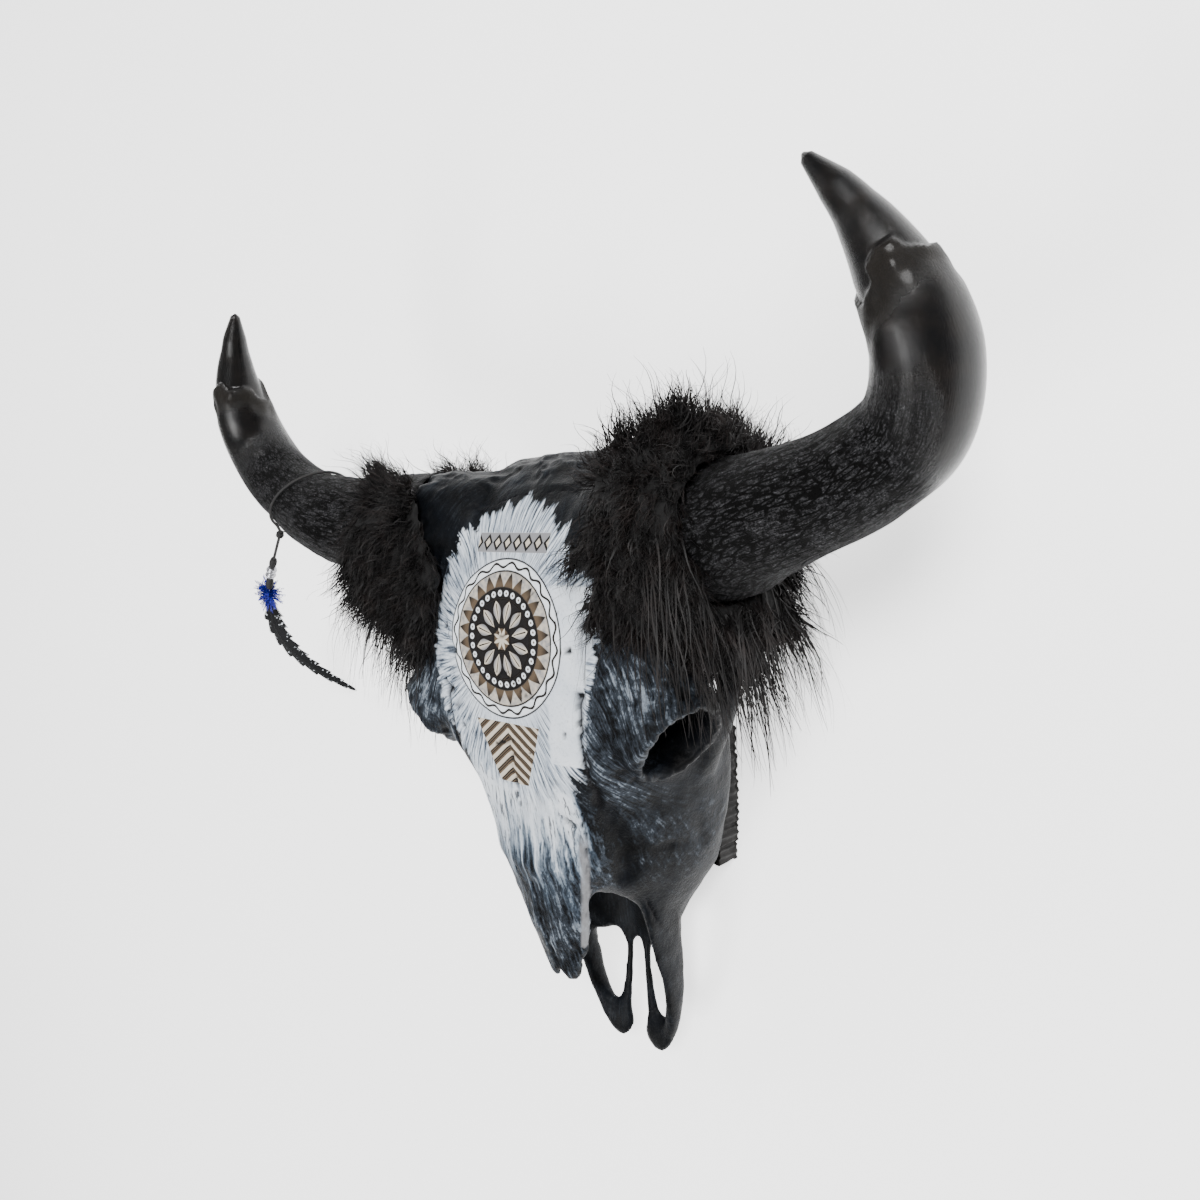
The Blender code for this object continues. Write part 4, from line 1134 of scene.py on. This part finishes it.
def make_down(finish):
    """Blue down: short plumes that spring from under the wrap, each with its own fine barbs."""
    dice = random.Random(DOWN_SEED)
    points, faces = [], []
    for _ in range(DOWN_PLUMES):
        root, tangent, side, rise = pendant_station(DOWN_START + dice.uniform(0, 14))
        a = dice.uniform(0, 2 * math.pi)
        away = side * (1.2 * math.cos(a)) + rise * (0.7 * math.sin(a)) + tangent * dice.uniform(-0.35, 0.5)
        length = dice.uniform(10, 17)
        bend = Vector([dice.uniform(-1, 1) for _ in range(3)]) * 3
        line = [root + away * length * t + bend * t * t for t in (0, 0.2, 0.4, 0.6, 0.8, 1.0)]
        ribbon(points, faces, line, [0.5, 0.45, 0.4, 0.3, 0.2, 0.08], tangent)
        for t in np.linspace(0.2, 1.0, 13):
            spot = root + away * length * t + bend * t * t
            for sign in (-1, 1):
                jitter = Vector([dice.uniform(-0.5, 0.5) for _ in range(3)])
                barb = (tangent * sign + away * 0.6 + jitter).normalized()
                reach = dice.uniform(2.0, 4.4) * (1.15 - 0.5 * t)
                across = away.normalized().cross(barb)
                ribbon(points, faces, [spot, spot + barb * reach], [0.42, 0.12], across)
    finished(mesh_object("blue_down", points, faces, finish), "blue_down", "blue_tuft")


def make_feather(finish):
    """A quill with barbs that part into notches, so that the vane's edge is scalloped."""
    dice = random.Random(FEATHER_SEED)
    length = (FEATHER_TIP - KNOT).length - FEATHER_START
    points, faces, edge = [], [], []
    for n in range(FEATHER_BARBS):
        t = n / (FEATHER_BARBS - 1)
        distance = FEATHER_START + length * t * 0.985
        root, tangent, side, rise = pendant_station(distance, FEATHER_FACE)
        width = FEATHER_HALF_WIDTH * min(1, 0.35 + 5 * t) * (1 - t) ** 0.55 + 1.0
        for sign in (-1, 1):
            notch = (t * 9 + (0.0 if sign < 0 else 0.5)) % 1.0
            reach = width * (0.70 + 0.36 * notch) * (1.0 if sign < 0 else 0.9)
            curl = 4.5 * (1 - t)
            slant = 0.75 + 0.5 * (1 - notch)
            line = []
            for s in (0, 0.35, 0.7, 1.0):
                out = side * sign * reach * s * 0.86
                line.append(root + out + tangent * reach * slant * s * 0.5 - rise * curl * s * s + rise * 0.5)
            jitter = dice.uniform(0.8, 1.1)
            ribbon(points, faces, line, [0.5 * jitter, 0.6 * jitter, 0.5 * jitter, 0.15], tangent)
            edge += [0.0, 0.0, 0.35, 0.35, 0.7, 0.7, 1.0, 1.0]
    quill = [pendant_point(FEATHER_START + length * s / 24) for s in range(25)]
    quill_points, quill_faces = tube_along(quill, [1.3 * (1 - 0.8 * s / 24) for s in range(25)], 8)
    first = len(points)
    points += [at(*p) for p in quill_points]
    faces += [tuple(first + i for i in face) for face in quill_faces]
    edge += [0.0] * len(quill_points)
    obj = mesh_object("feather_vane", points, faces, finish)
    set_attribute(obj.data, "edge", edge)
    finished(obj, "feather", "feather")


def camera_matrix():
    yaw, pitch, roll = (math.radians(v) for v in (CAMERA_YAW, CAMERA_PITCH, CAMERA_ROLL))
    back = Vector((math.sin(yaw) * math.cos(pitch), math.sin(pitch), math.cos(yaw) * math.cos(pitch)))
    level = Vector((math.cos(yaw), 0, -math.sin(yaw)))
    up = back.cross(level)
    right = level * math.cos(roll) + up * math.sin(roll)
    up = up * math.cos(roll) - level * math.sin(roll)
    matrix = Matrix((right, up, back)).transposed().to_4x4()
    matrix.translation = at(*CAMERA_PLACE)
    return matrix


def soft_light(name, place, target, size, power):
    data = bpy.data.lights.new(name, "AREA")
    data.shape = "DISK"
    data.size = size
    data.energy = power
    obj = placed(name, data)
    obj.location = place
    obj.rotation_euler = (Vector(target) - Vector(place)).to_track_quat("-Z", "Y").to_euler()
    return obj


def colour_setting(name, description, default):
    return bpy.props.FloatVectorProperty(
        name=name, description=description, subtype="COLOR", default=default
    )


class SkullSettings(bpy.types.PropertyGroup):
    bone_detail: bpy.props.FloatProperty(
        name="Bone detail",
        description="Spacing of the fine mesh that carries the bone's seams and pits",
        default=2.5 * MM,
        min=2.0 * MM,
        max=6 * MM,
        unit="LENGTH",
    )
    white: colour_setting("White", "The brushed white of the forehead and nose bones", (0.80, 0.84, 0.88))
    cream: colour_setting("Cream", "The carving's lightest warm tone", (0.56, 0.50, 0.41))
    sepia: colour_setting("Sepia", "The carving's brown", (0.10, 0.072, 0.048))
    grey: colour_setting("Grey", "The carving's middle grey", (0.23, 0.23, 0.24))
    black: colour_setting("Black", "The carving's darkest tone", (0.013, 0.012, 0.012))


class HairSettings(bpy.types.PropertyGroup):
    lock_length: bpy.props.FloatProperty(
        name="Lock length", description="Length of a lock of hair", default=30 * MM, unit="LENGTH"
    )
    locks_per_layer: bpy.props.IntProperty(
        name="Locks in a layer", description="How many locks each of a hide's two layers has", default=1060
    )
    stray_count: bpy.props.IntProperty(
        name="Loose strands", description="How many long loose strands each hide has", default=1080
    )
    hair_colour: colour_setting("Hair", "Colour of the hair", (0.0030, 0.0024, 0.0024))
    hair_light: colour_setting("Light hair", "Colour of the paler strands", (0.013, 0.009, 0.008))


class PendantSettings(bpy.types.PropertyGroup):
    blue: colour_setting("Blue", "Colour of the down", (0.010, 0.014, 0.42))
    silver: colour_setting("Silver", "Colour of the beads", (0.42, 0.42, 0.45))
    thong: colour_setting("Thong", "Colour of the thong and thread", (0.013, 0.012, 0.012))


class StageSettings(bpy.types.PropertyGroup):
    floor_size: bpy.props.FloatProperty(
        name="Floor size", description="Side of the square floor", default=16.0, unit="LENGTH"
    )
    floor_tone: colour_setting("Floor", "Colour of the floor", (0.93, 0.93, 0.93))
    floor_glow: bpy.props.FloatProperty(
        name="Floor glow",
        description="How much the white floor shines of itself, as a light table does",
        default=1.6,
    )


def art_colours(settings):
    return [tuple(c) for c in (settings.black, settings.sepia, settings.cream, settings.grey, settings.white)]


class OBJECT_OT_bison_stage(bpy.types.Operator):
    """Adds the camera, the pale floor and the soft lights"""

    bl_idname = "object.bison_stage"
    bl_label = "Stage"

    def execute(self, context):
        settings = context.scene.bison_stage
        data = bpy.data.cameras.new("camera")
        data.sensor_width = SENSOR_WIDTH
        data.lens = FOCAL_LENGTH
        data.clip_start = 0.05
        data.clip_end = 60
        camera = placed("camera", data)
        camera.matrix_world = camera_matrix()
        context.scene.camera = camera
        half = settings.floor_size / 2
        corners = [(-half, -half, 0), (half, -half, 0), (half, half, 0), (-half, half, 0)]
        paper = Paint("floor", tuple(settings.floor_tone), 0.9)
        paper.set("Emission Color", (1, 1, 1, 1))
        paper.set("Emission Strength", settings.floor_glow)
        floor = mesh_object("floor", corners, [(0, 1, 2, 3)], paper.material)
        key, fill, rim = (soft_light(name, *facts) for name, facts in LIGHTS.items())
        world = bpy.data.worlds.new("soft_room")
        world.use_nodes = True
        background = world.node_tree.nodes["Background"]
        background.inputs["Color"].default_value = (1, 1, 1, 1)
        background.inputs["Strength"].default_value = 0.30
        context.scene.world = world
        return {"FINISHED"}


class OBJECT_OT_bison_pendant(bpy.types.Operator):
    """Adds the thong, wraps, beads, down and feather"""

    bl_idname = "object.bison_pendant"
    bl_label = "Pendant"

    def execute(self, context):
        settings = context.scene.bison_pendant
        cord_finish = plain("thong", tuple(settings.thong), 0.7)
        silver = tuple(settings.silver)
        bead_finish = plain("bead", silver, 0.25, scale=300.0, contrast=0.15, coat=0.5, metallic=0.7)
        free, knot = make_thong(cord_finish)
        parts = make_wraps_and_beads(cord_finish, bead_finish)
        make_down(plain("down", tuple(settings.blue), 0.6, scale=200.0))
        make_feather(feather_black(art_colours(context.scene.bison_skull)))
        route = thong_route()
        length = sum((b - a).length for a, b in zip(route, route[1:]))
        at(*pendant_point(THONG_START))
        return {"FINISHED"}


class OBJECT_OT_bison_skull(bpy.types.Operator):
    """Adds the painted and carved bone"""

    bl_idname = "object.bison_skull"
    bl_label = "Skull"

    def execute(self, context):
        settings = context.scene.bison_skull
        make_skull(settings, painted_bone(art_colours(settings)))
        return {"FINISHED"}


class OBJECT_OT_bison_teeth(bpy.types.Operator):
    """Adds the cheek teeth"""

    bl_idname = "object.bison_teeth"
    bl_label = "Teeth"

    def execute(self, context):
        make_teeth(painted_teeth())
        return {"FINISHED"}


class OBJECT_OT_bison_horns(bpy.types.Operator):
    """Adds both horn sheaths"""

    bl_idname = "object.bison_horns"
    bl_label = "Horns"

    def execute(self, context):
        finish = horn_keratin()
        make_horn("sheath_left", 1, finish, HORN_SEEDS[1])
        make_horn("sheath_right", -1, finish, HORN_SEEDS[-1])
        return {"FINISHED"}


class OBJECT_OT_bison_hides(bpy.types.Operator):
    """Adds the hides and their hair"""

    bl_idname = "object.bison_hides"
    bl_label = "Hides"

    def execute(self, context):
        settings = context.scene.bison_hair
        # Painted shade: the underwool is the hair's colour darkened, for the shade under the locks.
        shaded = tuple(c * 0.6 for c in settings.hair_colour)
        base = plain("underwool", shaded, 0.9, scale=500.0, contrast=0.7)
        coat = hair("hair", tuple(settings.hair_colour), tuple(settings.hair_light))
        for side, seed in HIDE_SEEDS.items():
            make_hide(side, seed, base, coat, settings)
        return {"FINISHED"}


class VIEW3D_PT_bison_skull(bpy.types.Panel):
    bl_label = "Carved Bison Skull"
    bl_idname = "VIEW3D_PT_bison_skull"
    bl_space_type = "VIEW_3D"
    bl_region_type = "UI"
    bl_category = "Bison Skull"

    def draw(self, context):
        scene = context.scene
        for group in (scene.bison_skull, scene.bison_hair, scene.bison_pendant, scene.bison_stage):
            for name in group.bl_rna.properties.keys():
                if name not in ("rna_type", "name"):
                    self.layout.prop(group, name)
        for step in STEPS:
            self.layout.operator(step.bl_idname)


GROUPS = {
    "bison_skull": SkullSettings,
    "bison_hair": HairSettings,
    "bison_pendant": PendantSettings,
    "bison_stage": StageSettings,
}
STEPS = [
    OBJECT_OT_bison_stage,
    OBJECT_OT_bison_pendant,
    OBJECT_OT_bison_horns,
    OBJECT_OT_bison_skull,
    OBJECT_OT_bison_teeth,
    OBJECT_OT_bison_hides,
]


def register():
    for kind in (*GROUPS.values(), *STEPS, VIEW3D_PT_bison_skull):
        bpy.utils.register_class(kind)
    for name, kind in GROUPS.items():
        setattr(bpy.types.Scene, name, bpy.props.PointerProperty(type=kind))


def unregister():
    for name in GROUPS:
        delattr(bpy.types.Scene, name)
    for kind in (VIEW3D_PT_bison_skull, *reversed(STEPS), *reversed(list(GROUPS.values()))):
        bpy.utils.unregister_class(kind)


def main():
    register()
    for step in STEPS:
        group, name = step.bl_idname.split(".")
        getattr(getattr(bpy.ops, group), name)()


if __name__ == "__main__":
    main()
